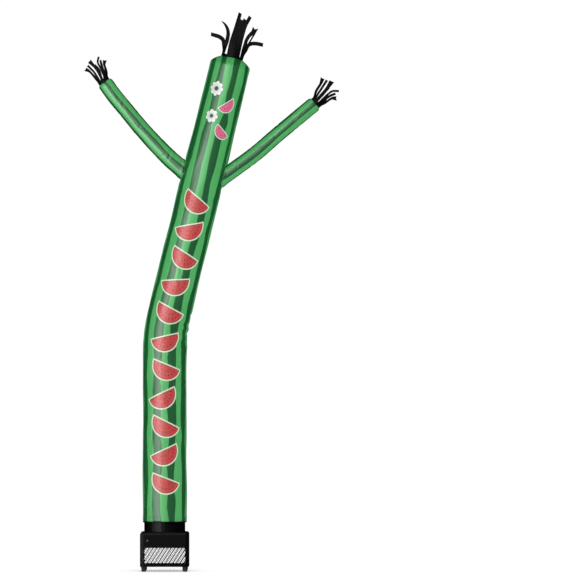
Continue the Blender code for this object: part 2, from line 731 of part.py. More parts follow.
def add_fringe(name, centre, axis, radius, cap_radius, rise, root, rows, finish, home):
    """A ring of ribbon that stands on a cap, cut into strips above its uncut root."""
    right = Vector((axis.z, 0.0, -axis.x))
    shape = bmesh.new()
    edges = []
    for row in rows:
        middle = math.radians(row[0])
        half = math.asin(row[1] / 2.0 / radius)
        edges += [middle - half, middle + half]

    def corner(angle, lift, inset, widest):
        """A point of the ring. Its foot clears the dome under the middle of the widest chord beside it."""
        out = right * math.sin(angle) + FRONT * math.cos(angle)
        place = radius - inset
        height = dome_height(place * widest / cap_radius, rise) + GAP + lift
        return shape.verts.new(centre + out * place + axis * height)

    count = len(edges)
    spans = [(edges[(index + 1) % count] - edges[index]) % (2.0 * math.pi) for index in range(count)]
    posts = []
    for index, angle in enumerate(edges):
        widest = math.cos(max(spans[index], spans[index - 1]) / 2.0)
        places = ((0.0, 0.0), (root, 0.0), (root, RIBBON), (0.0, RIBBON))
        posts.append([corner(angle, lift, inset, widest) for lift, inset in places])
    for index in range(count):
        here, after = posts[index], posts[(index + 1) % count]
        shape.faces.new((here[0], after[0], after[1], here[1]))
        shape.faces.new((here[3], here[2], after[2], after[3]))
        shape.faces.new((here[0], here[3], after[3], after[0]))
        if index % 2:
            shape.faces.new((here[1], after[1], after[2], here[2]))
            continue
        row = rows[index // 2]
        loop = [here[1], after[1], after[2], here[2]]
        start = sum((vertex.co for vertex in loop), Vector()) / 4.0
        for section in strip_sections(start, axis, right, math.radians(row[0]), row):
            fresh = [shape.verts.new(point) for point in section]
            for side in range(4):
                other = (side + 1) % 4
                shape.faces.new((loop[side], loop[other], fresh[other], fresh[side]))
            loop = fresh
        shape.faces.new(loop)
    add_object(name, shape, finish, home)


def build():
    clear_scene()
    home = bpy.data.objects.new("blower_axis", None)
    bpy.context.scene.collection.objects.link(home)
    home.location = (-(REACH_LEFT + REACH_RIGHT) / 2.0, 0.0, 0.0)

    plastic = ((0.012, 0.012, 0.013), 0.42)
    cloth = ((0.078, 0.400, 0.112), 0.62)
    ribbon = ((0.006, 0.006, 0.007), 0.70)

    windows = add_grilles(home, plastic)
    add_housing(home, windows)
    add_base_and_feet(home)
    add_switch(home)

    tube = add_tube(home, cloth)
    wall = outer_surface()
    rim, way = tube_centre(RIM_Z)
    head_radius = tube_radius(RIM_Z, 0.0)
    add_cap("head_cap", rim, way, head_radius, HEAD_DOME, HEAD_DOME_RINGS, TUBE_SIDES, cloth, home)
    add_fringe(
        "hair_fringe", rim, way, HAIR_RADIUS, head_radius, HEAD_DOME, HAIR_ROOT, HAIR, ribbon, home
    )
    for side, rows, strips in (("left", LEFT_ARM, LEFT_HAND), ("right", RIGHT_ARM, RIGHT_HAND)):
        wrist, wrist_way, wrist_radius = add_arm(side, rows, tube, wall, cloth, home)
        name = f"hand_fringe_{side}"
        add_fringe(
            name, wrist, wrist_way, HAND_RADIUS, wrist_radius, ARM_DOME, HAND_ROOT, strips, ribbon, home
        )
    settle(tube)


if __name__ == "__main__":
    build()
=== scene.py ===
"""Looks of an inflatable air dancer on its blower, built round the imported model.

A striped cloth tube stands on a black moulded blower, bends and leans to the viewer's right. Two
sleeves are sewn to it, and black ribbon fringe stands on the head and on both wrists. Units are
metres, +Z is up, the front faces -Y, and left and right are the viewer's.
"""

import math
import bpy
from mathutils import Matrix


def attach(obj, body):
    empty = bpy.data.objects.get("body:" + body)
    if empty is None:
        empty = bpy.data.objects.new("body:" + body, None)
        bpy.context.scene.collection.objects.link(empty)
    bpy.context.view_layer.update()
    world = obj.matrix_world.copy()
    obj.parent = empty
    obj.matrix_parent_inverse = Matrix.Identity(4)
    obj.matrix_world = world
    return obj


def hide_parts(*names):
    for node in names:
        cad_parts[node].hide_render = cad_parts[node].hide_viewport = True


bl_info = {
    "name": "Air Dancer",
    "version": (1, 0, 0),
    "blender": (4, 5, 0),
    "location": "3D View > Sidebar > Air Dancer",
    "description": "Striped cloth figure with black fringe, standing on a moulded blower",
    "category": "Add Mesh",
}

import bmesh
import bpy
import numpy as np
from bpy.props import FloatProperty, FloatVectorProperty, IntProperty, PointerProperty
from mathutils import Vector
from mathutils.bvhtree import BVHTree

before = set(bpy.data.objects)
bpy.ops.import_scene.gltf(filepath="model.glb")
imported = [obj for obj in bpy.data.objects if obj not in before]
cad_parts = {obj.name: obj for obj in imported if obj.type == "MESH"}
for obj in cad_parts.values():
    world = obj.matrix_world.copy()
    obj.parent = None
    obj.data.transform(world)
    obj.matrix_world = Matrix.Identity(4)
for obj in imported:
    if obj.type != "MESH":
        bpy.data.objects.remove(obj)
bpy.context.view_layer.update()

# The blower stands to the left of the part's origin
AXIS_X = -0.2575
GAP = 0.0003
CLOTH = 0.0012
RIBBON = 0.0016
FRONT = np.array((0.0, -1.0, 0.0))
BACK = -FRONT

# Tube: its centre line stands upright to the bend, then leans along a straight line
HEM_Z = 0.2745
RIM_Z = 2.785
BEND_Z = 1.313
BEND_SOFTNESS = 0.05
LEAN = 0.2456
TUBE_GIRTH = 0.755
TUBE_LENGTH = 2.554
TUBE_DIAMETERS = (
    # height, diameter
    (0.27, 0.2410),
    (1.30, 0.2400),
    (2.15, 0.2330),
    (2.48, 0.2270),
    (2.79, 0.2210),
)
TUBE_BANDS = (
    # height at the band's top, rows in the band
    (0.285, 5),
    (0.310, 6),
    (1.160, 110),
    (1.480, 88),
    (2.050, 78),
    (2.330, 62),
    (2.760, 58),
    (RIM_Z, 12),
)
TUBE_FOLDS = (
    # height, angle from the front in degrees, half height, half angle, depth, slope in metres a degree
    (1.265, 62.0, 0.016, 46.0, 0.0060, 0.00022),
    (1.318, 84.0, 0.018, 58.0, 0.0085, -0.00012),
    (1.372, 70.0, 0.017, 50.0, 0.0070, 0.00016),
    (1.425, 96.0, 0.015, 40.0, 0.0045, -0.00020),
)
TUBE_CREASES = (
    # height, angle, length, lean from upright in degrees, half width, depth, bow
    (1.241, 66.0, 0.150, 82.0, 0.0075, 0.0020, 0.10),
    (1.291, 98.0, 0.200, 97.0, 0.0080, 0.0027, -0.08),
    (1.340, 58.0, 0.170, 79.0, 0.0070, 0.0024, 0.12),
    (1.398, 104.0, 0.150, 99.0, 0.0070, 0.0018, -0.10),
    (1.286, 20.0, 0.110, 66.0, 0.0085, 0.0014, 0.15),
    (1.362, 16.0, 0.120, 112.0, 0.0080, 0.0013, 0.10),
    (1.331, 152.0, 0.160, 75.0, 0.0090, 0.0020, 0.10),
    (1.268, 130.0, 0.150, 106.0, 0.0090, 0.0016, -0.10),
    (1.330, -68.0, 0.260, 6.0, 0.0100, 0.0010, 0.05),
    (1.310, -108.0, 0.300, -5.0, 0.0110, 0.0012, 0.05),
    (1.345, -142.0, 0.200, 14.0, 0.0100, 0.0011, 0.05),
    (2.085, -58.0, 0.170, -34.0, 0.0090, 0.0017, 0.12),
    (2.110, -98.0, 0.130, 8.0, 0.0080, 0.0013, -0.10),
    (2.275, -66.0, 0.150, 28.0, 0.0090, 0.0016, -0.10),
    (2.268, -122.0, 0.150, -30.0, 0.0090, 0.0015, 0.10),
    (2.090, -134.0, 0.160, 33.0, 0.0095, 0.0014, 0.10),
    (2.085, 60.0, 0.180, 36.0, 0.0095, 0.0019, -0.12),
    (2.100, 104.0, 0.140, -10.0, 0.0085, 0.0015, 0.10),
    (2.300, 64.0, 0.160, -26.0, 0.0090, 0.0015, 0.10),
    (2.298, 118.0, 0.160, 30.0, 0.0090, 0.0015, -0.10),
    (2.080, 134.0, 0.150, -34.0, 0.0090, 0.0013, 0.10),
    (0.352, -38.0, 0.120, 4.0, 0.0080, 0.0010, 0.05),
    (0.360, 34.0, 0.140, -7.0, 0.0085, 0.0011, 0.05),
    (0.345, 96.0, 0.110, 9.0, 0.0080, 0.0011, 0.05),
    (0.350, -118.0, 0.130, -5.0, 0.0085, 0.0011, 0.05),
    (2.715, -52.0, 0.120, 5.0, 0.0080, 0.0011, 0.05),
    (2.705, 31.0, 0.140, -8.0, 0.0085, 0.0012, 0.05),
    (2.712, 88.0, 0.120, 10.0, 0.0080, 0.0012, 0.05),
    (2.708, -110.0, 0.130, -9.0, 0.0085, 0.0012, 0.05),
)
TUBE_SWELLS = (
    # height of the swell's wave, waves round the tube, length of its wave, depth
    (0.13, 2, 0.83, 0.0011),
    (0.41, 3, 0.52, 0.0008),
    (0.77, 5, 0.37, 0.0006),
    (0.29, 4, 0.26, 0.0005),
    (0.55, 8, 0.44, 0.0004),
)
SLEEVE_ROOTS = (
    # height, angle from the front in degrees, half width and half height of the seam on the tube
    (2.177, -90.0, 0.049, 0.055),
    (2.192, 90.0, 0.044, 0.066),
)

# Angles in degrees, close together, that carry the flat seam down the tube's back
BACK_SEAM_ANGLES = (-180.0, -178.9, -177.8, -176.6, -175.2, 175.2, 176.6, 177.8, 178.9)
BACK_SEAM_EDGE = 173.0
BACK_STITCH_ANGLE = 178.1

# Stripes: how many, angle of the first, dark share, how far an edge wanders in degrees, seed
TUBE_STRIPES = (9, 20.0, 0.48, 4.6, 11)
SLEEVE_STRIPES = (5, 4.0, 0.44, 7.0)
SLEEVE_STRIPES_END = 0.9
WRIST_PLACE = 0.65

# Print, as places across and along the flat cloth
PRINT_EDGE = 0.0005
SLICE_START = 0.128
SLICE_RUN = 1.74
SLICE_RIM = 0.0075
SLICE_SEEDS = (
    # radius of the ring of seeds, seeds in a half turn, half length and half width of a seed
    (0.056, 9.0, 0.0058, 0.0023),
    (0.033, 6.0, 0.0052, 0.0021),
)
HEAD_FLOWERS = (
    # across, along, radius, petals
    (-0.046, 2.405, 0.041, 8.0),
    (-0.034, 2.252, 0.037, 7.0),
)
HEAD_SLICES = (
    # across, along, radius, tilt in radians
    (0.044, 2.322, 0.047, 0.75),
    (0.042, 2.172, 0.044, -0.60),
)
RIPSTOP_PITCH = 0.0064
WEAVE_PITCH = 0.0016
RIB_PITCH = 0.0018

# Sleeves, from the tube's wall to the wrist
SLEEVE_GIRTH = 0.275
SLEEVE_SEAM_ANGLE = 140.0
ARM_CLEAR = 0.072
ARM_COLUMNS = 72
ARM_ROOT_ROWS = 14
ARM_ROWS = 118
LEFT_ARM = (
    # x, z, diameter
    (0.101, 2.205, 0.098),
    (0.037, 2.260, 0.096),
    (-0.043, 2.340, 0.092),
    (-0.123, 2.427, 0.089),
    (-0.215, 2.538, 0.087),
    (-0.274, 2.609, 0.087),
    (-0.327, 2.682, 0.086),
)
RIGHT_ARM = (
    # x, z, diameter
    (0.315, 2.161, 0.087),
    (0.392, 2.216, 0.086),
    (0.509, 2.303, 0.085),
    (0.609, 2.390, 0.084),
    (0.710, 2.4745, 0.084),
    (0.822, 2.567, 0.084),
)
LEFT_CREASES = (
    # place along the sleeve, angle, length, lean, half width, depth, bow
    (0.115, 30.0, 0.090, 62.0, 0.0055, 0.0013, 0.10),
    (0.150, -60.0, 0.080, 118.0, 0.0055, 0.0012, 0.10),
    (0.205, 84.0, 0.080, 70.0, 0.0060, 0.0012, -0.10),
    (0.262, 140.0, 0.090, 100.0, 0.0060, 0.0013, 0.10),
    (0.330, -20.0, 0.070, 66.0, 0.0055, 0.0009, 0.10),
    (0.398, 70.0, 0.090, 96.0, 0.0055, 0.0012, 0.10),
    (0.455, -100.0, 0.080, 80.0, 0.0055, 0.0012, -0.10),
    (0.520, 12.0, 0.090, 8.0, 0.0055, 0.0009, 0.10),
    (0.560, 104.0, 0.070, -8.0, 0.0055, 0.0010, 0.10),
)
RIGHT_CREASES = (
    # place along the sleeve, angle, length, lean, half width, depth, bow
    (0.110, -30.0, 0.090, 118.0, 0.0055, 0.0013, 0.10),
    (0.160, 62.0, 0.080, 64.0, 0.0055, 0.0012, 0.10),
    (0.225, -84.0, 0.080, 108.0, 0.0060, 0.0012, -0.10),
    (0.300, -130.0, 0.090, 84.0, 0.0060, 0.0012, 0.10),
    (0.362, 24.0, 0.070, 112.0, 0.0055, 0.0009, 0.10),
    (0.420, -66.0, 0.090, 92.0, 0.0055, 0.0012, 0.10),
    (0.480, 96.0, 0.080, 78.0, 0.0055, 0.0011, -0.10),
    (0.548, -14.0, 0.090, -8.0, 0.0055, 0.0009, 0.10),
    (0.590, -100.0, 0.070, 9.0, 0.0055, 0.0010, 0.10),
)

SLEEVES = (
    # side, centre line, creases, flat size, seed, side of the seam
    ("left", LEFT_ARM, LEFT_CREASES, (0.283, 0.645), 21, -1.0),
    ("right", RIGHT_ARM, RIGHT_CREASES, (0.267, 0.650), 22, 1.0),
)

# Domed discs that close the tube and the sleeves
HEAD_DOME = 0.045
HEAD_CAP_RADIUS = 0.1105
HEAD_CAP_GIRTH = 0.70
HEAD_CAP_COLUMNS = 140
ARM_DOME = 0.013
WRIST_CAP_GIRTH = 0.27
DOME_POWER = 2.5
CAP_SHARES = (
    1.0, 0.992, 0.98, 0.96, 0.935, 0.90, 0.86, 0.81, 0.75, 0.68, 0.60, 0.51, 0.41, 0.30, 0.18, 0.08,
)
# Puckers round the seams of the tube's rim and of a sleeve's
TUBE_PUCKERS = 31
SLEEVE_PUCKERS = 17

# Fringe: strips cut in a short tube of ribbon, whose uncut root stands on a cap
HAIR_RADIUS = 0.0610
HAIR_ROOT = 0.014
HAIR = (
    # angle from the front, width, tip width, slant, prong, notch, twist, y at the tip,
    # then x and z along the strip
    (-160.0, 0.024, 0.024, 0.006, 0.0, 0.004, 8.0, 0.058, ((0.3740, 2.905), (0.3960, 2.985))),
    (-122.0, 0.012, 0.008, 0.000, 0.0, 0.000, -8.0, 0.050, ((0.3290, 2.885), (0.3420, 2.940))),
    (-82.0, 0.0235, 0.0210, 0.006, 0.0, 0.000, 4.0, -0.006,
     ((0.3250, 2.895), (0.3205, 2.921), (0.3030, 2.936), (0.2770, 2.9455), (0.2540, 2.952))),
    (-58.0, 0.0225, 0.002, 0.000, 0.0, 0.000, -5.0, -0.036,
     ((0.3345, 2.886), (0.3455, 2.926), (0.3485, 2.968), (0.3340, 3.002), (0.3125, 3.024))),
    (-13.0, 0.0415, 0.0375, -0.010, -0.028, 0.000, 2.0, -0.058,
     ((0.3745, 2.900), (0.3955, 2.967), (0.4160, 3.034))),
    (23.0, 0.0375, 0.0370, -0.008, 0.030, 0.000, -2.0, -0.056,
     ((0.4090, 2.900), (0.4255, 2.962), (0.4370, 3.000), (0.4500, 3.026))),
    (54.0, 0.0210, 0.0320, 0.004, 0.0, 0.0120, 4.0, -0.046,
     ((0.4400, 2.885), (0.4520, 2.922), (0.4690, 2.946), (0.4880, 2.962), (0.5010, 2.987))),
    (82.0, 0.0225, 0.0205, 0.002, 0.0, 0.000, -4.0, -0.008,
     ((0.4480, 2.870), (0.4590, 2.889), (0.4770, 2.8990), (0.5040, 2.8995), (0.5410, 2.8920))),
    (120.0, 0.014, 0.010, 0.004, 0.0, 0.000, 8.0, 0.050, ((0.4380, 2.872), (0.4530, 2.902))),
    (156.0, 0.024, 0.024, -0.006, 0.0, 0.004, -8.0, 0.058, ((0.4050, 2.900), (0.4240, 2.975))),
    (68.0, 0.009, 0.011, 0.000, 0.0, 0.004, 0.0, -0.042,
     ((0.4500, 2.880), (0.4700, 2.912), (0.4900, 2.946), (0.5000, 2.966))),
)
HAND_RADIUS = 0.0335
HAND_ROOT = 0.014
LEFT_HAND = (
    # angle from the front, width, tip width, slant, prong, notch, twist, y at the tip,
    # then x and z along the strip
    (-165.0, 0.0140, 0.0140, 0.004, 0.0, 0.003, 6.0, 0.034, ((-0.3700, 2.7667), (-0.3900, 2.7850))),
    (-125.0, 0.0110, 0.0100, -0.003, 0.0, 0.000, -6.0, 0.028, ((-0.3900, 2.7240), (-0.4090, 2.7430))),
    (-70.0, 0.0125, 0.0225, -0.003, 0.0, 0.0020, 4.0, -0.006,
     ((-0.3920, 2.7225), (-0.4180, 2.7500), (-0.4376, 2.7590))),
    (-34.0, 0.0120, 0.0130, 0.002, 0.0, 0.000, -4.0, -0.024, ((-0.3915, 2.7465), (-0.4235, 2.7787))),
    (-4.0, 0.0155, 0.0240, 0.003, 0.0, 0.000, 4.0, -0.034, ((-0.3785, 2.7640), (-0.4137, 2.8020))),
    (28.0, 0.0115, 0.0110, 0.000, 0.0, 0.000, 6.0, -0.036,
     ((-0.3534, 2.7667), (-0.3680, 2.7990), (-0.3618, 2.8270))),
    (50.0, 0.0140, 0.0120, 0.002, 0.0, 0.000, -4.0, -0.024, ((-0.3440, 2.7720), (-0.3540, 2.8090))),
    (78.0, 0.0135, 0.0225, 0.002, 0.0, 0.0030, 4.0, -0.006,
     ((-0.3240, 2.7597), (-0.3325, 2.7864), (-0.3290, 2.8100))),
    (125.0, 0.0120, 0.0110, 0.003, 0.0, 0.000, 6.0, 0.028, ((-0.3257, 2.7580), (-0.3330, 2.7820))),
    (165.0, 0.0120, 0.0120, -0.003, 0.0, 0.003, -6.0, 0.034, ((-0.3430, 2.7640), (-0.3520, 2.7930))),
)
RIGHT_HAND = (
    # angle from the front, width, tip width, slant, prong, notch, twist, y at the tip,
    # then x and z along the strip
    (-165.0, 0.0140, 0.0140, 0.004, 0.0, 0.003, 6.0, 0.034, ((0.8860, 2.6400), (0.9050, 2.6620))),
    (-125.0, 0.0110, 0.0100, -0.003, 0.0, 0.000, -6.0, 0.028, ((0.8370, 2.6430), (0.8530, 2.6700))),
    (-72.0, 0.0145, 0.0250, -0.004, 0.0, 0.0020, 4.0, -0.006,
     ((0.8345, 2.6430), (0.8575, 2.6790), (0.8690, 2.7105))),
    (-38.0, 0.0135, 0.0150, 0.002, 0.0, 0.000, -4.0, -0.024, ((0.8620, 2.6520), (0.8922, 2.6985))),
    (-11.0, 0.0205, 0.0280, 0.004, 0.0, 0.000, 4.0, -0.034, ((0.8855, 2.6430), (0.9190, 2.6920))),
    (26.0, 0.0125, 0.0120, 0.000, 0.0, 0.000, 6.0, -0.036,
     ((0.8720, 2.5970), (0.8985, 2.6217), (0.9195, 2.6370), (0.9580, 2.6383))),
    (50.0, 0.0140, 0.0140, 0.002, 0.0, 0.000, -4.0, -0.024, ((0.9073, 2.6110), (0.9388, 2.6250))),
    (80.0, 0.0130, 0.0260, 0.002, 0.0, 0.0030, 4.0, -0.006,
     ((0.8932, 2.5820), (0.9195, 2.5990), (0.9458, 2.5985))),
    (125.0, 0.0120, 0.0110, 0.003, 0.0, 0.000, 6.0, 0.028, ((0.8930, 2.5840), (0.9170, 2.5980))),
    (165.0, 0.0120, 0.0120, -0.003, 0.0, 0.003, -6.0, 0.034, ((0.8900, 2.6050), (0.9200, 2.6180))),
)
STRIP_ROWS = 34
STRIP_COLUMNS = 8
BAND_COLUMNS = 96

# Marks on the rocker, as shares of half its width and height, then half sizes of their section
MARK_ASIDE = 0.45
RING_REACH = 0.17
LINE_REACH = 0.24
MARK_HALF_WIDTH = 0.00045
MARK_HALF_THICK = 0.0002

# Stage: a white round floor and shell, and a camera far off, square to the front
WHITE = (1.0, 1.0, 1.0, 1.0)
BACKDROP_GLOW = 1.03
BACKDROP_RADIUS = 60.0
FLOOR_RINGS = (0.4, 1.0, 2.0, 4.0, 8.0, 20.0, 59.0)
FLOOR_COLUMNS = 64
WORLD_STRENGTH = 0.74
LAMPS = (
    # name, place, aim, width, height, brightness, roll in degrees, seen in the sheen alone
    ("sheen_panel", (-2.3, -3.7, 1.5), (-0.1, 0.0, 1.5), 3.0, 7.0, 2.4, -40.0, True),
    ("key_strip", (-6.2, -10.6, 1.7), (0.0, 0.0, 1.5), 1.3, 6.0, 6.0, 0.0, False),
    ("top_front", (0.5, -5.0, 8.0), (0.0, 0.0, 1.0), 4.0, 3.0, 2.5, 0.0, False),
)
CAMERA_PLACE = (0.4205, -40.0, 1.556)
SENSOR_WIDTH = 36.0
PICTURE_WIDTH = 3.168


def length_prop(name, description, value, least):
    return FloatProperty(name=name, description=description, default=value, min=least, unit="LENGTH")


class DancerSizes(bpy.types.PropertyGroup):
    """Sizes that a user would change."""

    columns: IntProperty(
        name="Columns", description="Columns of faces round the tube", default=140, min=24, max=400,
    )
    stitch_pitch: length_prop("Stitch pitch", "From one stitch to the next", 0.0046, 0.002)
    stitch_length: length_prop("Stitch length", "Length of thread that shows in a stitch", 0.0032, 0.001)
    stitch_radius: length_prop("Stitch radius", "Half the thickness of the thread", 0.00042, 0.0001)
    hem_height: length_prop("Hem height", "Height of the turned-up hem", 0.026, 0.005)
    slice_pitch: length_prop("Slice pitch", "From one printed melon slice to the next", 0.156, 0.05)
    slice_radius: length_prop("Slice radius", "Radius of a printed melon slice", 0.079, 0.02)


def colour_prop(name, description, value):
    return FloatVectorProperty(
        name=name, description=description, default=value, size=3, subtype="COLOR", min=0.0, max=1.0,
    )


class DancerColours(bpy.types.PropertyGroup):
    """Colours that a user would change, as linear values."""

    light_green: colour_prop("Light green", "Ground of the striped cloth", (0.060, 0.430, 0.104))
    dark_green: colour_prop("Dark green", "Stripes of the cloth", (0.0002, 0.112, 0.0195))
    flesh_red: colour_prop("Flesh red", "Flesh of the printed melon slices", (0.620, 0.030, 0.038))
    rind_cream: colour_prop("Rind cream", "Rim of the printed melon slices", (0.720, 0.760, 0.560))
    print_black: colour_prop("Print black", "Lines, seeds and centres of the print", (0.008, 0.010, 0.009))
    petal_white: colour_prop("Petal white", "Petals of the printed flowers", (0.820, 0.830, 0.810))
    ribbon_black: colour_prop("Ribbon black", "Fringe on the head and wrists", (0.0016, 0.0016, 0.0019))
    plastic_black: colour_prop("Plastic black", "Moulded parts of the blower", (0.0022, 0.0022, 0.0025))
    thread_green: colour_prop("Thread green", "Sewing thread", (0.010, 0.075, 0.024))


class Wire:
    """An output of a material's nodes. Sums, products and powers of wires add Math nodes."""

    def __init__(self, finish, socket):
        self.finish = finish
        self.socket = socket

    def maths(self, operation, *terms):
        return self.finish.add("ShaderNodeMath", {"operation": operation}, dict(enumerate(terms)))

    def __add__(self, other):
        return self.maths("ADD", self, other)

    def __radd__(self, other):
        return self.maths("ADD", other, self)

    def __sub__(self, other):
        return self.maths("SUBTRACT", self, other)

    def __rsub__(self, other):
        return self.maths("SUBTRACT", other, self)

    def __mul__(self, other):
        return self.maths("MULTIPLY", self, other)

    def __rmul__(self, other):
        return self.maths("MULTIPLY", other, self)

    def __truediv__(self, other):
        return self.maths("DIVIDE", self, other)

    def __rtruediv__(self, other):
        return self.maths("DIVIDE", other, self)

    def __pow__(self, other):
        return self.maths("POWER", self, other)

    def __abs__(self):
        return self.maths("ABSOLUTE", self)

    def sine(self):
        return self.maths("SINE", self)

    def cosine(self):
        return self.maths("COSINE", self)

    def root(self):
        return self.maths("SQRT", self)

    def part(self):
        """What is left above the whole number below."""
        return self.maths("FRACT", self)

    def whole(self):
        return self.maths("FLOOR", self)

    def least(self, other):
        return self.maths("MINIMUM", self, other)

    def most(self, other):
        return self.maths("MAXIMUM", self, other)

    def turn_from(self, other):
        """The angle of the point (other, self)."""
        return self.maths("ARCTAN2", self, other)

    def rising(self, low, high):
        """0 below low and 1 above high, with a soft step between."""
        settings = {"interpolation_type": "SMOOTHSTEP"}
        return self.finish.add("ShaderNodeMapRange", settings, {0: self, 1: low, 2: high, 3: 0.0, 4: 1.0})

    def inside(self):
        """1 where a printed shape's depth from its edge is above nought."""
        return self.rising(-PRINT_EDGE, PRINT_EDGE)


class Finish:
    """A material, and the one method that adds nodes to it."""

    def __init__(self, name, **constants):
        self.material = bpy.data.materials.new(name)
        self.material.use_nodes = True
        self.tree = self.material.node_tree
        self.shader = self.tree.nodes["Principled BSDF"]
        for socket, value in constants.items():
            self.feed(self.shader.inputs[socket.replace("_", " ")], value)

    def feed(self, socket, value):
        if isinstance(value, Wire):
            self.tree.links.new(value.socket, socket)
        else:
            socket.default_value = value

    def add(self, kind, settings=None, inputs=None, output=0):
        node = self.tree.nodes.new(kind)
        for name, value in (settings or {}).items():
            setattr(node, name, value)
        for place, value in (inputs or {}).items():
            self.feed(node.inputs[place], value)
        return Wire(self, node.outputs[output])

    def mix(self, share, first, second):
        """The first colour where share is 0 and the second where it is 1."""
        colours = [value if isinstance(value, Wire) else (*value, 1.0) for value in (first, second)]
        settings = {"data_type": "RGBA"}
        return self.add("ShaderNodeMix", settings, {0: share, 6: colours[0], 7: colours[1]}, output=2)

    def noise(self, place, scale, detail=2.0, roughness=0.5):
        inputs = {"Vector": place, "Scale": scale, "Detail": detail, "Roughness": roughness}
        return self.add("ShaderNodeTexNoise", {}, inputs)

    def split(self, vector):
        """The three numbers of a vector."""
        node = self.add("ShaderNodeSeparateXYZ", {}, {0: vector}).socket.node
        return [Wire(self, socket) for socket in node.outputs]

    def join(self, x, y, z):
        return self.add("ShaderNodeCombineXYZ", {}, {0: x, 1: y, 2: z})

    def uv(self, name):
        return self.split(self.add("ShaderNodeUVMap", {"uv_map": name}))

    def object_place(self):
        return self.add("ShaderNodeTexCoord", {}, {}, output="Object")

    def bump(self, height, distance, strength=1.0):
        inputs = {"Height": height, "Distance": distance, "Strength": strength}
        self.feed(self.shader.inputs["Normal"], self.add("ShaderNodeBump", {}, inputs))

    def colour(self, value):
        self.feed(self.shader.inputs["Base Color"], value)

    def roughness(self, value):
        self.feed(self.shader.inputs["Roughness"], value)


def slices_on(finish, across, along, sizes, colours, ground):
    """Prints a column of half-round melon slices, tilted to one side and the other by turns."""
    pitch, radius = sizes.slice_pitch, sizes.slice_radius
    first = SLICE_START
    last = first + math.floor(SLICE_RUN / pitch) * pitch
    step = (along - first) / pitch
    number = step.whole()
    turn = (number * 0.5).part() * 4.0 - 1.0
    tilt = turn * 0.36 + (number * 2.4).sine() * 0.10
    in_column = (along - first).rising(0.0, 0.001) * (1.0 - (along - last).rising(0.0, 0.001))
    up = (step.part() - 0.5) * pitch
    aside = across - (number * 1.7).sine() * 0.006
    cos, sin = tilt.cosine(), tilt.sine()
    u = aside * cos + up * sin
    v = up * cos - aside * sin - 0.030
    reach = (u * u + v * v).root()

    def half_disc(grow):
        """How far inside a half disc a point is, with the flat side up."""
        return (radius + grow - reach).least(grow - v)

    cream = half_disc(SLICE_RIM).rising(-0.0006, 0.0006) * in_column
    line = half_disc(0.0).inside() * in_column
    flesh = half_disc(-0.0026).inside() * in_column
    heading = v.turn_from(u)
    seeds = None
    for ring, count, length, width in SLICE_SEEDS:
        step_round = (heading / math.pi * count + number * 0.37).part() - 0.5
        sideways = step_round * reach * (math.pi / count)
        outwards = reach - ring
        close = 1.0 - ((sideways / width) ** 2.0 + (outwards / length) ** 2.0)
        spot = close.rising(0.0, 0.35)
        seeds = spot if seeds is None else seeds.most(spot)
    warm = finish.noise(finish.join(across, along, 0.0), 26.0, 3.0)
    red = finish.mix(warm.rising(0.35, 0.75), colours.flesh_red, (0.560, 0.022, 0.030))
    red = finish.mix(seeds, red, colours.print_black)
    ground = finish.mix(cream, ground, colours.rind_cream)
    ground = finish.mix(line, ground, colours.print_black)
    return finish.mix(flesh, ground, red)


def head_print_on(finish, across, along, colours, ground):
    """Prints flowers and small melon slices by turns, in a zigzag up the top of the tube."""
    printed = ground
    for aside, height, size, petals in HEAD_FLOWERS:
        u = across - aside
        v = along - height
        reach = (u * u + v * v).root()
        petal = abs((v.turn_from(u) * (petals / 2.0)).cosine())
        edge = petal * (size * 0.26) + size * 0.76 - reach
        printed = finish.mix((edge + 0.0026).inside(), printed, colours.print_black)
        white = finish.mix((reach / size).rising(0.35, 0.9), (0.60, 0.66, 0.60), colours.petal_white)
        printed = finish.mix(edge.inside(), printed, white)
        printed = finish.mix((size * 0.30 - reach).inside(), printed, colours.print_black)
    for aside, height, radius, tilt in HEAD_SLICES:
        cos, sin = math.cos(tilt), math.sin(tilt)
        u = (across - aside) * cos + (along - height) * sin
        v = (along - height) * cos - (across - aside) * sin - 0.018
        reach = (u * u + v * v).root()
        edge = (radius - reach).least(0.0 - v)
        printed = finish.mix((edge + 0.0055).inside(), printed, colours.petal_white)
        printed = finish.mix((edge + 0.0008).inside(), printed, colours.print_black)
        step_round = (v.turn_from(u) / math.pi * 6.0).part() - 0.5
        sideways = step_round * reach * (math.pi / 6.0)
        seed = 1.0 - ((sideways / 0.0018) ** 2.0 + ((reach - radius * 0.62) / 0.0046) ** 2.0)
        pink = finish.mix(seed.rising(0.0, 0.35), (0.800, 0.110, 0.260), colours.print_black)
        printed = finish.mix((edge - 0.0014).inside(), printed, pink)
    return printed


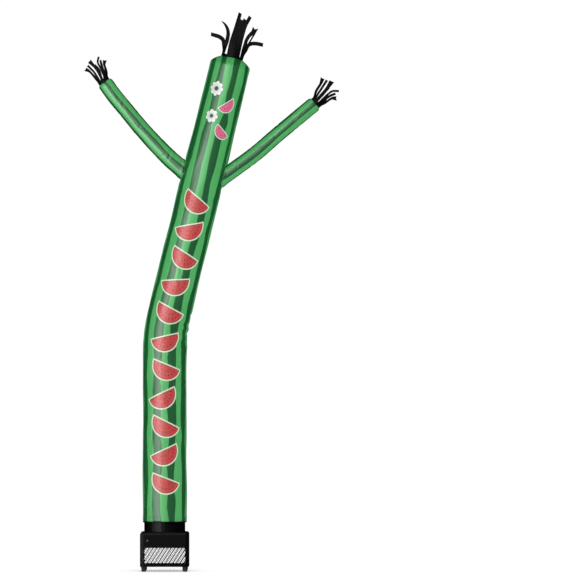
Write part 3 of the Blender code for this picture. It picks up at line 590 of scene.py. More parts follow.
def cloth_finish(name, girth, sizes, colours, printed=False):
    """Striped nylon: ripstop weave, printed stripes with uneven edges, and dust near the floor."""
    finish = Finish(name, Specular_IOR_Level=0.06, Coat_Weight=0.8, Coat_IOR=1.9, Coat_Roughness=0.36)
    turn, along, _ = finish.uv("cloth")
    field, _, _ = finish.uv("print")
    across = (turn - 0.5) * girth
    flat = finish.join(across, along, 0.0)
    body = finish.object_place()
    soft = finish.noise(body, 5.0, 3.0)
    fine = finish.noise(flat, 160.0, 3.0, 0.6)
    bleed = (finish.noise(flat, 420.0, 2.0) - 0.5) * 0.0016
    dark = (field + bleed).rising(-0.0007, 0.0007)
    light = finish.mix(soft.rising(0.30, 0.72), colours.light_green, (0.068, 0.450, 0.112))
    stripe = finish.mix(soft.rising(0.25, 0.75), colours.dark_green, (0.0010, 0.118, 0.026))
    vein = finish.noise(finish.join(across * 9.0, along, 0.0), 30.0, 3.0).rising(0.56, 0.70) * 0.22
    stripe = finish.mix(vein, stripe, (0.004, 0.128, 0.030))
    shown = finish.mix(dark, light, stripe)
    if printed:
        shown = slices_on(finish, across, along, sizes, colours, shown)
        shown = head_print_on(finish, across, along, colours, shown)
    # Ripstop: a grid of heavier threads over a fine plain weave
    grid = None
    for place in (across, along):
        line = abs((place / RIPSTOP_PITCH).part() - 0.5).rising(0.43, 0.49)
        grid = line if grid is None else grid.most(line)
    thread = finish.mix(dark, (0.100, 0.520, 0.150), (0.006, 0.150, 0.040))
    shown = finish.mix(grid * 0.30, shown, thread)
    _, _, height = finish.split(body)
    dust = (1.0 - height.rising(0.28, 0.62)) * finish.noise(flat, 38.0, 4.0, 0.6).rising(0.42, 0.80)
    smudge = finish.noise(body, 2.3, 4.0, 0.6).rising(0.58, 0.82)
    shown = finish.mix(dust * 0.014 + smudge * 0.004, shown, (0.30, 0.34, 0.26))
    finish.colour(shown)
    finish.roughness(0.48 + fine * 0.06 + dust * 0.12)
    wave = 2.0 * math.pi / WEAVE_PITCH
    weave = (across * wave).sine() * (along * wave).sine()
    crinkle = finish.noise(flat, 70.0, 4.0, 0.55)
    finish.bump(grid * 0.5 + weave * 0.12 + crinkle * 1.4 + fine * 0.35, 0.00035, 0.8)
    return finish.material


def ribbon_finish(name, colours):
    """Satin ribbon: streaks along the strips, a fine rib across them."""
    finish = Finish(name, Specular_IOR_Level=0.10)
    across, along, _ = finish.uv("cloth")
    streak = finish.noise(finish.join(across, along * 0.05, 0.0), 900.0, 3.0, 0.6)
    patch = finish.noise(finish.join(across, along, 0.0), 55.0, 3.0)
    finish.colour(finish.mix(streak * 0.6, colours.ribbon_black, (0.0050, 0.0050, 0.0058)))
    finish.roughness(0.34 + streak * 0.14 + patch * 0.10)
    rib = (along * (2.0 * math.pi / RIB_PITCH)).sine()
    finish.bump(rib * 0.3 + streak * 1.0 + patch * 1.5, 0.00022, 0.8)
    return finish.material


def thread_finish(name, colour):
    finish = Finish(name, Sheen_Weight=0.2, Sheen_Roughness=0.5)
    body = finish.object_place()
    twist = finish.noise(body, 1600.0, 2.0)
    finish.colour(finish.mix(twist, colour, [value * 1.7 for value in colour]))
    finish.roughness(0.52 + twist * 0.15)
    finish.bump(twist, 0.0001, 0.6)
    return finish.material


def plastic_finish(name, colour, rough=0.32, dusty=0.05):
    """Moulded plastic: fine grain, faint scuffs, and dust where a face looks up."""
    finish = Finish(name, Specular_IOR_Level=0.17)
    body = finish.object_place()
    grain = finish.noise(body, 1100.0, 2.0, 0.6)
    cloud = finish.noise(body, 22.0, 4.0, 0.6)
    scuff = finish.noise(body, 210.0, 5.0, 0.7).rising(0.62, 0.78)
    _, _, facing = finish.split(finish.add("ShaderNodeNewGeometry", {}, {}, output="Normal"))
    dust = facing.rising(0.4, 1.0) * cloud.rising(0.35, 0.75)
    shown = finish.mix(cloud.rising(0.3, 0.7) * 0.5, colour, [value * 1.35 for value in colour])
    shown = finish.mix(scuff * 0.15, shown, (0.024, 0.024, 0.025))
    finish.colour(finish.mix(dust * dusty, shown, (0.22, 0.21, 0.19)))
    finish.roughness(rough + cloud * 0.08 + scuff * 0.12 + dust * 0.15)
    finish.bump(grain, 0.00006, 0.7)
    return finish.material


def rubber_finish(name, colour):
    finish = Finish(name, Specular_IOR_Level=0.4)
    body = finish.object_place()
    speck = finish.noise(body, 900.0, 3.0, 0.6)
    _, _, height = finish.split(body)
    scuffed = (1.0 - height.rising(0.001, 0.009)) * finish.noise(body, 130.0, 3.0).rising(0.4, 0.7)
    rubber = finish.mix(speck * 0.3, colour, (0.03, 0.03, 0.03))
    finish.colour(finish.mix(scuffed * 0.4, rubber, (0.14, 0.13, 0.12)))
    finish.roughness(0.66 + speck * 0.14)
    finish.bump(speck, 0.00008, 0.7)
    return finish.material


def even_white(finish):
    return finish.add("ShaderNodeEmission", {}, {"Color": WHITE, "Strength": BACKDROP_GLOW})


def floor_finish(name):
    """Pale paper near the object, which fades into even white further out."""
    finish = Finish(name, Emission_Strength=0.42)
    finish.feed(finish.shader.inputs["Emission Color"], WHITE)
    place = finish.object_place()
    cloud = finish.noise(place, 0.6, 3.0)
    finish.colour(finish.mix(cloud, (0.86, 0.86, 0.86), (0.89, 0.89, 0.89)))
    finish.roughness(0.75 + cloud * 0.1)
    x, y, _ = finish.split(place)
    far = (x * x + y * y).root().rising(1.6, 6.0)
    near = Wire(finish, finish.shader.outputs[0])
    blend = finish.add("ShaderNodeMixShader", {}, {0: far, 1: near, 2: even_white(finish)})
    finish.tree.links.new(blend.socket, finish.tree.nodes["Material Output"].inputs["Surface"])
    return finish.material


def backdrop_finish(name):
    finish = Finish(name)
    finish.tree.links.new(even_white(finish).socket, finish.tree.nodes["Material Output"].inputs["Surface"])
    return finish.material


def add_piece(name, points, faces, material, sharp=55.0):
    """Makes an object of points and faces, given as arrays or lists."""
    mesh = bpy.data.meshes.new(name)
    mesh.from_pydata(np.asarray(points).reshape(-1, 3).tolist(), [], [list(face) for face in faces])
    mesh.validate()
    mesh.materials.append(material)
    mesh.shade_smooth()
    mesh.set_sharp_from_angle(angle=math.radians(sharp))
    made = bpy.data.objects.new(name, mesh)
    bpy.context.scene.collection.objects.link(made)
    return made


def ring_faces(rows, columns, closed):
    """Corners of the quads between rows of points that run round. If closed, the rows run round too."""
    row = np.arange(rows if closed else rows - 1)[:, None]
    column = np.arange(columns)[None, :]
    beyond = (row + 1) % rows * columns
    here = row * columns
    after = (column + 1) % columns
    quads = np.stack(np.broadcast_arrays(here + column, here + after, beyond + after, beyond + column), -1)
    return quads.reshape(-1, 4)


def set_uv(piece, name, values):
    """Gives a mesh's corners a map of two numbers, as an array in the order of the corners."""
    layer = piece.data.uv_layers.new(name=name)
    layer.data.foreach_set("uv", np.asarray(values, dtype=np.float32).reshape(-1))


def corner_order(piece):
    """The vertex of each corner of a mesh's faces."""
    return [corner for polygon in piece.data.polygons for corner in polygon.vertices]


def set_wrapped_maps(piece, turn, places, field, quads):
    """Maps cloth that runs round: the share of the turn and the place along, and the stripes' field."""
    share = (turn + 180.0) / 360.0
    left = np.broadcast_to(share, (len(places), len(turn)))
    right = np.broadcast_to(np.append(share[1:], 1.0), left.shape)
    low = np.broadcast_to(places[:, None], left.shape)
    high = np.broadcast_to(np.roll(places, -1)[:, None], left.shape)
    set_uv(piece, "cloth", np.stack((left, low, right, low, right, high, left, high), -1))
    flat = field.reshape(-1)
    set_uv(piece, "print", np.stack((flat, np.zeros_like(flat)), -1)[quads.reshape(-1)])


def inner_rows_of(rows, step):
    """Every few rows from the last to the first, for the coarser inner face of cloth."""
    return np.unique(np.concatenate((np.arange(0, rows, step), [rows - 1])))[::-1]


def pressed(rise, turn, girth, creases):
    """How far creases lift a surface out: soft uneven troughs with a low ridge on both sides."""
    relief = np.zeros(np.broadcast(rise, turn).shape)
    for middle, facing, length, lean, half_width, depth, bow in creases:
        round_way = ((turn - facing + 180.0) % 360.0 - 180.0) / 360.0 * girth
        up_way = rise - middle
        cos, sin = math.cos(math.radians(lean)), math.sin(math.radians(lean))
        along = round_way * sin + up_way * cos
        across = round_way * cos - up_way * sin + bow * along * along / length
        share = along / (length / 2.0)
        width = half_width * (1.0 + 0.25 * np.sin(4.1 * share + facing))
        trough = np.exp(-((across / width) ** 2))
        ridge = np.exp(-(((np.abs(across) - 2.1 * width) / (0.9 * width)) ** 2))
        waver = 1.0 + 0.22 * np.sin(6.3 * share + facing)
        relief -= depth * np.exp(-(share**4)) * waver * (trough - 0.42 * ridge)
    return relief


def scattered_creases(seed, count, low, high, depth, lengths, slant):
    """Small creases here and there, most of them running along the cloth."""
    chance = np.random.default_rng(seed)
    rows = []
    for _ in range(count):
        place = chance.uniform(low, high)
        facing = chance.uniform(-180.0, 180.0)
        length = chance.uniform(*lengths)
        lean = chance.normal(0.0, slant)
        half_width = chance.uniform(0.0060, 0.0100)
        deep = depth * chance.uniform(0.5, 1.0)
        rows.append((place, facing, length, lean, half_width, deep, chance.uniform(-0.1, 0.1)))
    return rows


def edge_line(chance, low, high, reach):
    """An uneven edge: straight runs between bends, as places and how far each bend stands aside."""
    places = [low]
    while places[-1] < high:
        places.append(places[-1] + chance.uniform(0.055, 0.165))
    return places, chance.uniform(-reach, reach, len(places))


def stripe_field(turn, along, girth, count, first, share, reach, seed, high):
    """Metres from the nearest edge of the dark stripes, above nought inside a stripe."""
    chance = np.random.default_rng(seed)
    period = 360.0 / count
    field = np.full(np.broadcast(turn, along).shape, -1.0)
    for index in range(count):
        middle = first + index * period
        left = edge_line(chance, -0.1, high, reach)
        right = edge_line(chance, -0.1, high, reach)
        aside = (turn - middle + 180.0) % 360.0 - 180.0
        low_edge = -period * share / 2.0 + np.interp(along, *left)
        high_edge = period * share / 2.0 + np.interp(along, *right)
        field = np.maximum(field, np.minimum(aside - low_edge, high_edge - aside))
    return field / 360.0 * girth


def tube_stripes(turn, along):
    return stripe_field(turn, along, TUBE_GIRTH, *TUBE_STRIPES, TUBE_LENGTH + 0.2)


def sleeve_stripes(turn, along, seed):
    return stripe_field(turn, along, SLEEVE_GIRTH, *SLEEVE_STRIPES, seed, SLEEVE_STRIPES_END)


def tube_line(heights):
    """The tube's centre at heights, and the way that its centre line runs there."""
    share = (heights - BEND_Z) / BEND_SOFTNESS
    slope = LEAN / (1.0 + np.exp(-share))
    level = np.zeros_like(heights)
    centre = np.stack((AXIS_X + LEAN * BEND_SOFTNESS * np.logaddexp(0.0, share), level, heights), -1)
    way = np.stack((slope, level, np.ones_like(heights)), -1)
    return centre, way / np.linalg.norm(way, axis=-1, keepdims=True)


def outwards(way, angles):
    """Directions out of a centre line in the XZ plane, from the front towards the viewer's right."""
    right = np.stack((way[..., 2], np.zeros_like(way[..., 0]), -way[..., 0]), -1)
    return right * np.sin(angles)[..., None] + FRONT * np.cos(angles)[..., None]


def seam_wave(angles, count, phase):
    """Uneven puckers along a round seam."""
    size = 0.6 + 0.4 * np.sin(5.0 * angles + phase)
    return size * np.sin(count * angles + 1.9 * np.sin(3.0 * angles + phase))


def tube_relief(heights, angles, hem_height):
    """How far the tube's face stands out of its plain form."""
    turn = np.degrees(angles)
    creases = list(TUBE_CREASES) + scattered_creases(5, 74, 0.40, 2.70, 0.0011, (0.07, 0.19), 24.0)
    relief = pressed(heights, turn, TUBE_GIRTH, creases)
    for place, waves, length, depth in TUBE_SWELLS:
        upright = np.sin(2.0 * math.pi * heights / length + 9.0 * place)
        relief += depth * np.sin(waves * angles + 7.0 * place) * upright
    above_hem = heights - HEM_Z
    relief += 0.0008 * seam_wave(angles, 23, 0.4) * np.exp(-above_hem / 0.055)
    relief += 0.00035 * (1.0 - np.tanh((above_hem - hem_height) / 0.0024))
    relief -= 0.0016 * np.exp(-((above_hem / 0.0016) ** 2))
    below_rim = RIM_Z - heights
    relief += 0.0012 * seam_wave(angles, TUBE_PUCKERS, 1.1) * np.exp(-below_rim / 0.020)
    relief -= 0.0026 * np.exp(-((below_rim / 0.0042) ** 2))
    for height, facing, half_width, half_height in SLEEVE_ROOTS:
        aside = ((turn - facing + 180.0) % 360.0 - 180.0) / 360.0 * TUBE_GIRTH / half_width
        rise = (heights - height) / half_height
        reach = np.hypot(aside, rise)
        heading = np.arctan2(rise, aside)
        fade = np.exp(-np.maximum(reach - 1.0, 0.0) / 0.42)
        wave = np.sin(13.0 * heading + 1.2 * np.sin(2.0 * heading))
        relief += 0.0015 * (0.65 + 0.35 * np.sin(2.0 * heading + 0.6)) * wave * fade
        relief -= 0.0024 * np.exp(-(((reach - 1.04) / 0.16) ** 2))
    # The seam down the back: a flat felled ridge
    back = ((turn + 360.0) % 360.0 - 180.0) / 360.0 * TUBE_GIRTH
    return relief + 0.0016 * np.exp(-((back / 0.0055) ** 4))


def tube_radius(heights, angles, hem_height):
    table = np.array(TUBE_DIAMETERS)
    radius = np.interp(heights, table[:, 0], table[:, 1]) / 2.0
    turn = np.degrees(angles)
    for middle, facing, half_height, half_angle, depth, slope in TUBE_FOLDS:
        aside = (turn - facing + 180.0) % 360.0 - 180.0
        rise = heights - middle - slope * aside
        radius = radius - depth * np.exp(-((rise / half_height) ** 2) - (aside / half_angle) ** 2)
    return radius + tube_relief(heights, angles, hem_height)


def tube_surface(heights, angles, hem_height, lift=0.0):
    """Points on the tube's outer face and the directions out of it, at heights and angles in radians."""
    heights, angles = np.broadcast_arrays(np.asarray(heights, dtype=float), np.asarray(angles, dtype=float))
    centre, way = tube_line(heights)
    out = outwards(way, angles)
    return centre + out * (tube_radius(heights, angles, hem_height) + lift)[..., None], out


def tube_heights():
    heights = [HEM_Z]
    for top, rows in TUBE_BANDS:
        heights += list(np.linspace(heights[-1], top, rows + 1)[1:])
    return np.array(heights)


def tube_angles(columns):
    """Angles round the tube from the back, closer together at the seam there."""
    seam = np.radians(BACK_SEAM_ANGLES)
    edge = math.radians(BACK_SEAM_EDGE)
    plain = np.linspace(-edge, edge, columns - len(seam))
    return np.sort(np.concatenate((seam, plain)))


def length_along(points):
    steps = np.linalg.norm(np.diff(points, axis=0), axis=1)
    return np.concatenate(([0.0], np.cumsum(steps)))


def along_rows(rows, places, wanted):
    """Rows of three numbers at wanted places, on straight runs between the known places."""
    return np.stack([np.interp(wanted, places, rows[:, axis]) for axis in range(3)], -1)


def stitches(name, lines, sizes, material):
    """Stitches as small joined capsules. A line is points along a seam and the directions out of it."""
    radius = sizes.stitch_radius
    half = sizes.stitch_length / 2.0
    profile = ((-1.0, 0.0), (-0.86, 0.72), (-0.45, 1.0), (0.45, 1.0), (0.86, 0.72), (1.0, 0.0))
    sides = 6
    template = []
    for along, share in profile:
        turns = (0.0,) if share == 0.0 else [2.0 * math.pi * side / sides for side in range(sides)]
        reach = share * radius
        template += [(along * half, reach * math.cos(turn), reach * math.sin(turn)) for turn in turns]
    template = np.array(template)
    faces = [(0, 1 + (side + 1) % sides, 1 + side) for side in range(sides)]
    for ring in range(3):
        base = 1 + ring * sides
        for side in range(sides):
            after = (side + 1) % sides
            faces.append((base + side, base + after, base + sides + after, base + sides + side))
    base = 1 + 3 * sides
    faces += [(base + side, base + (side + 1) % sides, base + sides) for side in range(sides)]
    points, quads = [], []
    for line, out in lines:
        places = length_along(line)
        wanted = np.arange(sizes.stitch_pitch / 2.0, places[-1], sizes.stitch_pitch)
        middles, normals = along_rows(line, places, wanted), along_rows(out, places, wanted)
        ways = along_rows(line, places, wanted + 0.001) - along_rows(line, places, wanted - 0.001)
        ways /= np.linalg.norm(ways, axis=1, keepdims=True)
        sideways = np.cross(ways, normals)
        sideways /= np.linalg.norm(sideways, axis=1, keepdims=True)
        normals = np.cross(sideways, ways)
        for middle, way, normal, side in zip(middles, ways, normals, sideways):
            start = len(points) * len(template)
            spots = template[:, :1] * way + template[:, 1:2] * normal + template[:, 2:] * side
            points.append(middle + spots)
            quads += [tuple(start + corner for corner in face) for face in faces]
    return add_piece(name, np.concatenate(points), quads, material, 80.0)


def closed_line(points, out):
    return np.concatenate((points, points[:1])), np.concatenate((out, out[:1]))


def smooth_through(table, places, wanted):
    """Values, and how fast they change, at wanted places along a smooth line through a table's rows."""
    slopes = np.gradient(table, places, axis=0)
    index = np.clip(np.searchsorted(places, wanted, side="right") - 1, 0, len(places) - 2)
    length = (places[index + 1] - places[index])[:, None]
    t = (wanted[:, None] - places[index][:, None]) / length
    start, end = table[index], table[index + 1]
    start_pull, end_pull = slopes[index] * length, slopes[index + 1] * length
    value = start * (2 * t**3 - 3 * t**2 + 1) + start_pull * (t**3 - 2 * t**2 + t)
    value = value + end * (3 * t**2 - 2 * t**3) + end_pull * (t**3 - t**2)
    rate = start * (6 * t**2 - 6 * t) + start_pull * (3 * t**2 - 4 * t + 1)
    return value, rate + end * (6 * t - 6 * t**2) + end_pull * (3 * t**2 - 2 * t)


def smooth_line(rows, wanted):
    """Centres, ways and diameters at places along a smooth line through a table's rows."""
    table = np.array(rows)
    value, rate = smooth_through(table, length_along(table[:, :2]), wanted)
    level = np.zeros(len(wanted))
    centre = np.stack((AXIS_X + value[:, 0], level, value[:, 1]), -1)
    way = np.stack((rate[:, 0], level, rate[:, 1]), -1)
    return centre, way / np.linalg.norm(way, axis=1, keepdims=True), value[:, 2]


def tube_tree(hem_height):
    """The tube's outer face round the sleeves, as a search tree for seating them on it."""
    heights = np.linspace(1.95, 2.45, 120)
    angles = np.linspace(-math.pi, math.pi, 180, endpoint=False)
    points, _ = tube_surface(heights[:, None], angles[None, :], hem_height)
    quads = ring_faces(len(heights), len(angles), False)
    return BVHTree.FromPolygons([Vector(point) for point in points.reshape(-1, 3)], quads.tolist())


def cap_surface(centre, way, radius, rise, phase, count, inset=0.0):
    """Rings of a domed disc from its rim to near its middle, and the middle point."""
    angles = np.linspace(-math.pi, math.pi, count, endpoint=False)
    puckers = seam_wave(angles, TUBE_PUCKERS if rise == HEAD_DOME else SLEEVE_PUCKERS, phase)
    start = centre + way * GAP
    rings = []
    for share in CAP_SHARES:
        edge = math.exp(-(((1.0 - share) * radius / 0.0035) ** 2))
        lift = rise * (1.0 - share**DOME_POWER) + (CLOTH - inset) - 0.0010 * edge
        lift = lift + 0.020 * radius * puckers * math.exp(-(1.0 - share) / 0.10)
        lift = lift + 0.010 * radius * np.sin(3.0 * angles + phase) * math.sin(math.pi * share)
        reach = (radius - 0.0014 - inset) * share
        rings.append(start + way * np.reshape(lift, (-1, 1)) + outwards(way, angles) * reach)
    return rings, start + way * (rise + CLOTH - inset)


def add_cap(name, centre, way, radius, rise, count, material, stripes):
    """A domed disc of cloth. Its stripes run straight across, and meet the sleeve's in front."""
    outer, top = cap_surface(centre, way, radius, rise, 1.1, count)
    inner, under = cap_surface(centre, way, radius, rise, 1.1, count, CLOTH)
    rings = outer[::-1] + inner
    points = np.concatenate((np.concatenate(rings), [top, under]))
    quads = ring_faces(len(rings), count, False)[:, ::-1].tolist()
    pole, floor_pole = len(rings) * count, len(rings) * count + 1
    last = (len(rings) - 1) * count
    for index in range(count):
        after = (index + 1) % count
        quads.append((pole, index, after))
        quads.append((floor_pole, last + after, last + index))
    cap = add_piece(name, points, quads, material)
    flat = points - centre
    right = np.array((way[2], 0.0, -way[0]))
    girth = 2.0 * math.pi * radius
    plane = np.stack((0.5 + (flat @ right) / girth, flat @ FRONT), -1)
    field = stripes(np.degrees(np.arcsin(np.clip(flat @ right / radius, -1.0, 1.0))))
    corners = corner_order(cap)
    set_uv(cap, "cloth", plane[corners])
    set_uv(cap, "print", np.stack((field, np.zeros_like(field)), -1)[corners])
    return cap


def dome_height(share, rise):
    return GAP + CLOTH + rise * (1.0 - share**DOME_POWER)


def strip_points(start, right, row, ring_radius, number):
    """Rows of points round a strip from its root to its tip, its maps and its length."""
    angle, width, tip_width, slant, prong, notch, twist, tip_y, spots = row
    angle = math.radians(angle)
    way_points = [start]
    for index, (x, z) in enumerate(spots):
        share = (index + 1) / len(spots)
        way_points.append(np.array((AXIS_X + x, start[1] + (tip_y - start[1]) * share, z)))
    table = np.array(way_points)
    places = length_along(table)
    wanted = np.linspace(0.0, places[-1], STRIP_ROWS)
    middles, rates = smooth_through(table, places, wanted)
    ways = rates / np.linalg.norm(rates, axis=1, keepdims=True)
    root_across = right * math.cos(angle) + BACK * math.sin(angle)
    sign = 1.0 if math.cos(angle) > -0.2 else -1.0
    sideways = np.linspace(-1.0, 1.0, STRIP_COLUMNS)
    if prong:
        sideways[3:5] = 0.0, 0.10 * math.copysign(1.0, -prong)
        sideways[3:5] = sorted(sideways[3:5])
    reach = places[-1]
    rows, maps = [], []
    for place, middle, way in zip(wanted, middles, ways):
        t = place / reach
        in_plane = np.array((way[2], 0.0, -way[0])) * sign
        in_plane = in_plane / np.linalg.norm(in_plane)
        share = min(1.0, max(0.0, (t - 0.04) / 0.40))
        share = share * share * (3.0 - 2.0 * share)
        facing = root_across * (1.0 - share) + in_plane * share
        across = facing - way * (facing @ way)
        across = across / np.linalg.norm(across)
        out = -np.cross(way, across)
        turn = math.radians(twist) * math.sin(math.pi * t * 0.9 + 0.4 * number) * t
        cos, sin = math.cos(turn), math.sin(turn)
        across, out = across * cos + out * sin, out * cos - across * sin
        middle = middle + out * (0.0028 * reach / 0.15 * math.sin(7.5 * t + 1.7 * number) * t)
        flare = t**5 if tip_width < width else max(0.0, (t - 0.70) / 0.30)
        half = (width + (tip_width - width) * flare) / 2.0
        half = half * (1.0 - 0.05 * math.sin(math.pi * t) + 0.02 * math.sin(9.0 * t + number))
        curl = (1.0 - t) ** 2 + 0.35 * t * math.sin(1.3 * number)
        end = max(0.0, (t - 0.80) / 0.20) ** 2
        lean = (slant / 2.0 * sideways - notch * (1.0 - np.abs(sideways))) * end
        lean = lean + abs(prong) * (sideways * np.sign(prong) > -0.05) * end
        drop = -curl * (half * sideways) ** 2 / (2.0 * ring_radius)
        face = middle + across * (half * sideways)[:, None] + way * lean[:, None] + out * drop[:, None]
        thick = RIBBON * 0.45 * (1.0 if t < 0.98 else 0.6)
        rows.append(np.concatenate((face + out * thick, (face - out * thick)[::-1])))
        spread = np.concatenate((half * sideways, (half * sideways)[::-1]))
        maps.append(np.stack((spread + 0.05 * number, np.full(len(spread), place)), -1))
    return np.array(rows), np.array(maps), reach


def add_fringe(name, centre, way, radius, cap_radius, rise, root, table, material):
    """A ring of ribbon that stands on a cap, cut into strips above its uncut root."""
    right = np.array((way[2], 0.0, -way[0]))
    points, faces, maps = [], [], []
    count = 0

    def take(rows, values, closed):
        nonlocal count
        rings, columns = rows.shape[:2]
        quads = ring_faces(rings, columns, closed) + count
        points.append(rows.reshape(-1, 3))
        maps.append(values.reshape(-1, 2))
        faces.extend(quads.tolist())
        if not closed:
            half = columns // 2
            for base, flip in ((count, False), (count + (rings - 1) * columns, True)):
                for column in range(half - 1):
                    near, far = base + column, base + columns - 1 - column
                    face = [near, far, far - 1, near + 1]
                    faces.append(face[::-1] if flip else face)
        count += rings * columns

    angles = np.linspace(-math.pi, math.pi, BAND_COLUMNS, endpoint=False)
    out = outwards(way, angles)
    foot = dome_height(radius / cap_radius, rise)
    profile = ((radius, 0.0), (radius + 0.0002, root * 0.5), (radius, root), (radius - RIBBON, root))
    profile += ((radius - RIBBON - 0.0002, root * 0.5), (radius - RIBBON, 0.0))
    band = np.array([centre + out * reach + way * (foot + lift) for reach, lift in profile])
    band_maps = np.array([[(angle * radius, lift) for angle in angles] for _, lift in profile])
    take(band, band_maps, True)
    area = 2.0 * math.pi * radius * root
    longest = 0.0
    for number, row in enumerate(table):
        angle = math.radians(row[0])
        side = right * math.sin(angle) + FRONT * math.cos(angle)
        start = centre + side * (radius - RIBBON / 2.0) + way * (foot + root - 0.003)
        rows, values, length = strip_points(start, right, row, radius, number)
        take(rows, values, False)
        area += length * (row[1] + row[2]) / 2.0
        longest = max(longest, length)
    fringe = add_piece(name, np.concatenate(points), faces, material, 50.0)
    set_uv(fringe, "cloth", np.concatenate(maps)[corner_order(fringe)])
    turn_outwards(fringe)
    return fringe, (2.0 * math.pi * radius, root + longest), area


def turn_outwards(piece):
    """Turns a closed mesh's faces outwards."""
    shape = bmesh.new()
    shape.from_mesh(piece.data)
    bmesh.ops.recalc_face_normals(shape, faces=shape.faces[:])
    shape.to_mesh(piece.data)
    shape.free()


class TubeOperator(bpy.types.Operator):
    """Makes the long cloth tube, with its hem, folds, seams and stitches"""

    bl_idname = "dancer.tube"
    bl_label = "Cloth tube"

    def execute(self, context):
        sizes, colours = context.scene.dancer_sizes, context.scene.dancer_colours
        heights = tube_heights()
        angles = tube_angles(sizes.columns)
        outer, out = tube_surface(heights[:, None], angles[None, :], sizes.hem_height)
        centre, _ = tube_line(heights)
        along = length_along(centre)
        inner_rows = inner_rows_of(len(heights), 4)
        inner = outer[inner_rows] - out[inner_rows] * CLOTH
        rings = np.concatenate((outer, inner))
        places = np.concatenate((along, along[inner_rows]))
        quads = ring_faces(len(rings), len(angles), True)
        finish = cloth_finish("striped_tube", TUBE_GIRTH, sizes, colours, printed=True)
        tube = add_piece("tube_cloth", rings, quads, finish)
        turn = np.degrees(angles)
        set_wrapped_maps(tube, turn, places, tube_stripes(turn[None, :], places[:, None]), quads)
        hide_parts("body_tube")
        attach(tube, "root")

        lines = []
        for height in (HEM_Z + 0.004, HEM_Z + sizes.hem_height - 0.003, RIM_Z - 0.0075):
            lines.append(closed_line(*tube_surface(height, angles, sizes.hem_height)))
        upright = np.arange(HEM_Z + 0.002, RIM_Z - 0.002, 0.01)
        for turn_back in (-BACK_STITCH_ANGLE, BACK_STITCH_ANGLE):
            lines.append(tube_surface(upright, math.radians(turn_back), sizes.hem_height))
        for height, facing, half_width, half_height in SLEEVE_ROOTS:
            heading = np.linspace(0.0, 2.0 * math.pi, 120)
            aside = np.cos(heading) * half_width * 1.08 / TUBE_GIRTH * 2.0 * math.pi
            spots = height + np.sin(heading) * half_height * 1.08
            lines.append(tube_surface(spots, math.radians(facing) + aside, sizes.hem_height))
        thread = stitches("tube_stitches", lines, sizes, thread_finish("tube_thread", colours.thread_green))
        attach(thread, "root")
        return {"FINISHED"}


class SleeveOperator(bpy.types.Operator):
    """Makes the two sleeves, sewn to the tube"""

    bl_idname = "dancer.sleeves"
    bl_label = "Sleeves"

    def execute(self, context):
        sizes, colours = context.scene.dancer_sizes, context.scene.dancer_colours
        finish = cloth_finish("striped_sleeve", SLEEVE_GIRTH, sizes, colours)
        thread = thread_finish("sleeve_thread", colours.thread_green)
        wall = tube_tree(sizes.hem_height)
        for side, table, creases, flat, seed, seam_side in SLEEVES:
            total = length_along(np.array(table)[:, :2])[-1]
            places = np.linspace(ARM_CLEAR, total, ARM_ROWS)
            centre, way, diameter = smooth_line(table, places)
            angles = np.linspace(-math.pi, math.pi, ARM_COLUMNS, endpoint=False)
            turn = np.degrees(angles)
            girth = math.pi * float(diameter.mean())
            small = scattered_creases(seed, 22, 0.09, total - 0.02, 0.0008, (0.04, 0.09), 30.0)
            relief = pressed(places[:, None], turn[None, :], girth, list(creases) + small)
            below_rim = (total - places)[:, None]
            puckers = seam_wave(angles, SLEEVE_PUCKERS, 1.1)[None, :]
            relief += 0.0008 * puckers * np.exp(-below_rim / 0.016)
            relief -= 0.0022 * np.exp(-((below_rim / 0.0036) ** 2))
            out = outwards(np.repeat(way[:, None], ARM_COLUMNS, 1), np.broadcast_to(angles, relief.shape))
            rings = centre[:, None] + out * (diameter[:, None] / 2.0 + relief)[..., None]
            inwards = np.array((table[0][0] - table[1][0], 0.0, table[0][1] - table[1][1]))
            inwards = inwards / np.linalg.norm(inwards)
            root = []
            for point in rings[0]:
                hit, normal, _, _ = wall.ray_cast(Vector(point), Vector(inwards))
                if hit is None:
                    raise RuntimeError(f"the {side} sleeve misses the tube")
                root.append(np.array(hit) + np.array(normal) * 0.0002)
            root = np.array(root)
            share = np.linspace(0.0, 1.0, ARM_ROOT_ROWS, endpoint=False)[:, None, None]
            seam = 0.0016 * seam_wave(angles, 13, 0.6)[None, :, None] * np.exp(-share / 0.22) * (share > 0.0)
            swell = 0.0022 * np.exp(-(((share - 0.16) / 0.12) ** 2)) - 0.0012 * np.exp(-((share / 0.06) ** 2))
            start = root + (rings[0] - root) * share + out[0] * (seam + swell * (share > 0.0))
            outer = np.concatenate((start, rings))
            outs = np.concatenate((np.repeat(out[:1], ARM_ROOT_ROWS, 0), out))
            inner_rows = inner_rows_of(len(outer), 3)
            inner = outer[inner_rows] - outs[inner_rows] * CLOTH
            whole = np.concatenate((outer, inner))
            gap = np.linalg.norm(rings[0] - root, axis=1).mean()
            along = np.concatenate((share[:, 0, 0] * gap, gap + places - ARM_CLEAR))
            whole_along = np.concatenate((along, along[inner_rows]))
            quads = ring_faces(len(whole), ARM_COLUMNS, True)
            sleeve = add_piece(f"sleeve_{side}", whole, quads, finish)
            field = sleeve_stripes(turn[None, :], whole_along[:, None], seed)
            set_wrapped_maps(sleeve, turn, whole_along, field, quads)
            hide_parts(f"arm_{side}")
            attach(sleeve, "root")
            lines = [closed_line(outer[2], outs[2]), closed_line(outer[-3], outs[-3])]
            under = np.argmin(np.abs(turn - SLEEVE_SEAM_ANGLE * seam_side))
            lines.append((outer[:, under], outs[:, under]))
            sewn = stitches(f"sleeve_stitches_{side}", lines, sizes, thread)
            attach(sewn, "root")
        return {"FINISHED"}


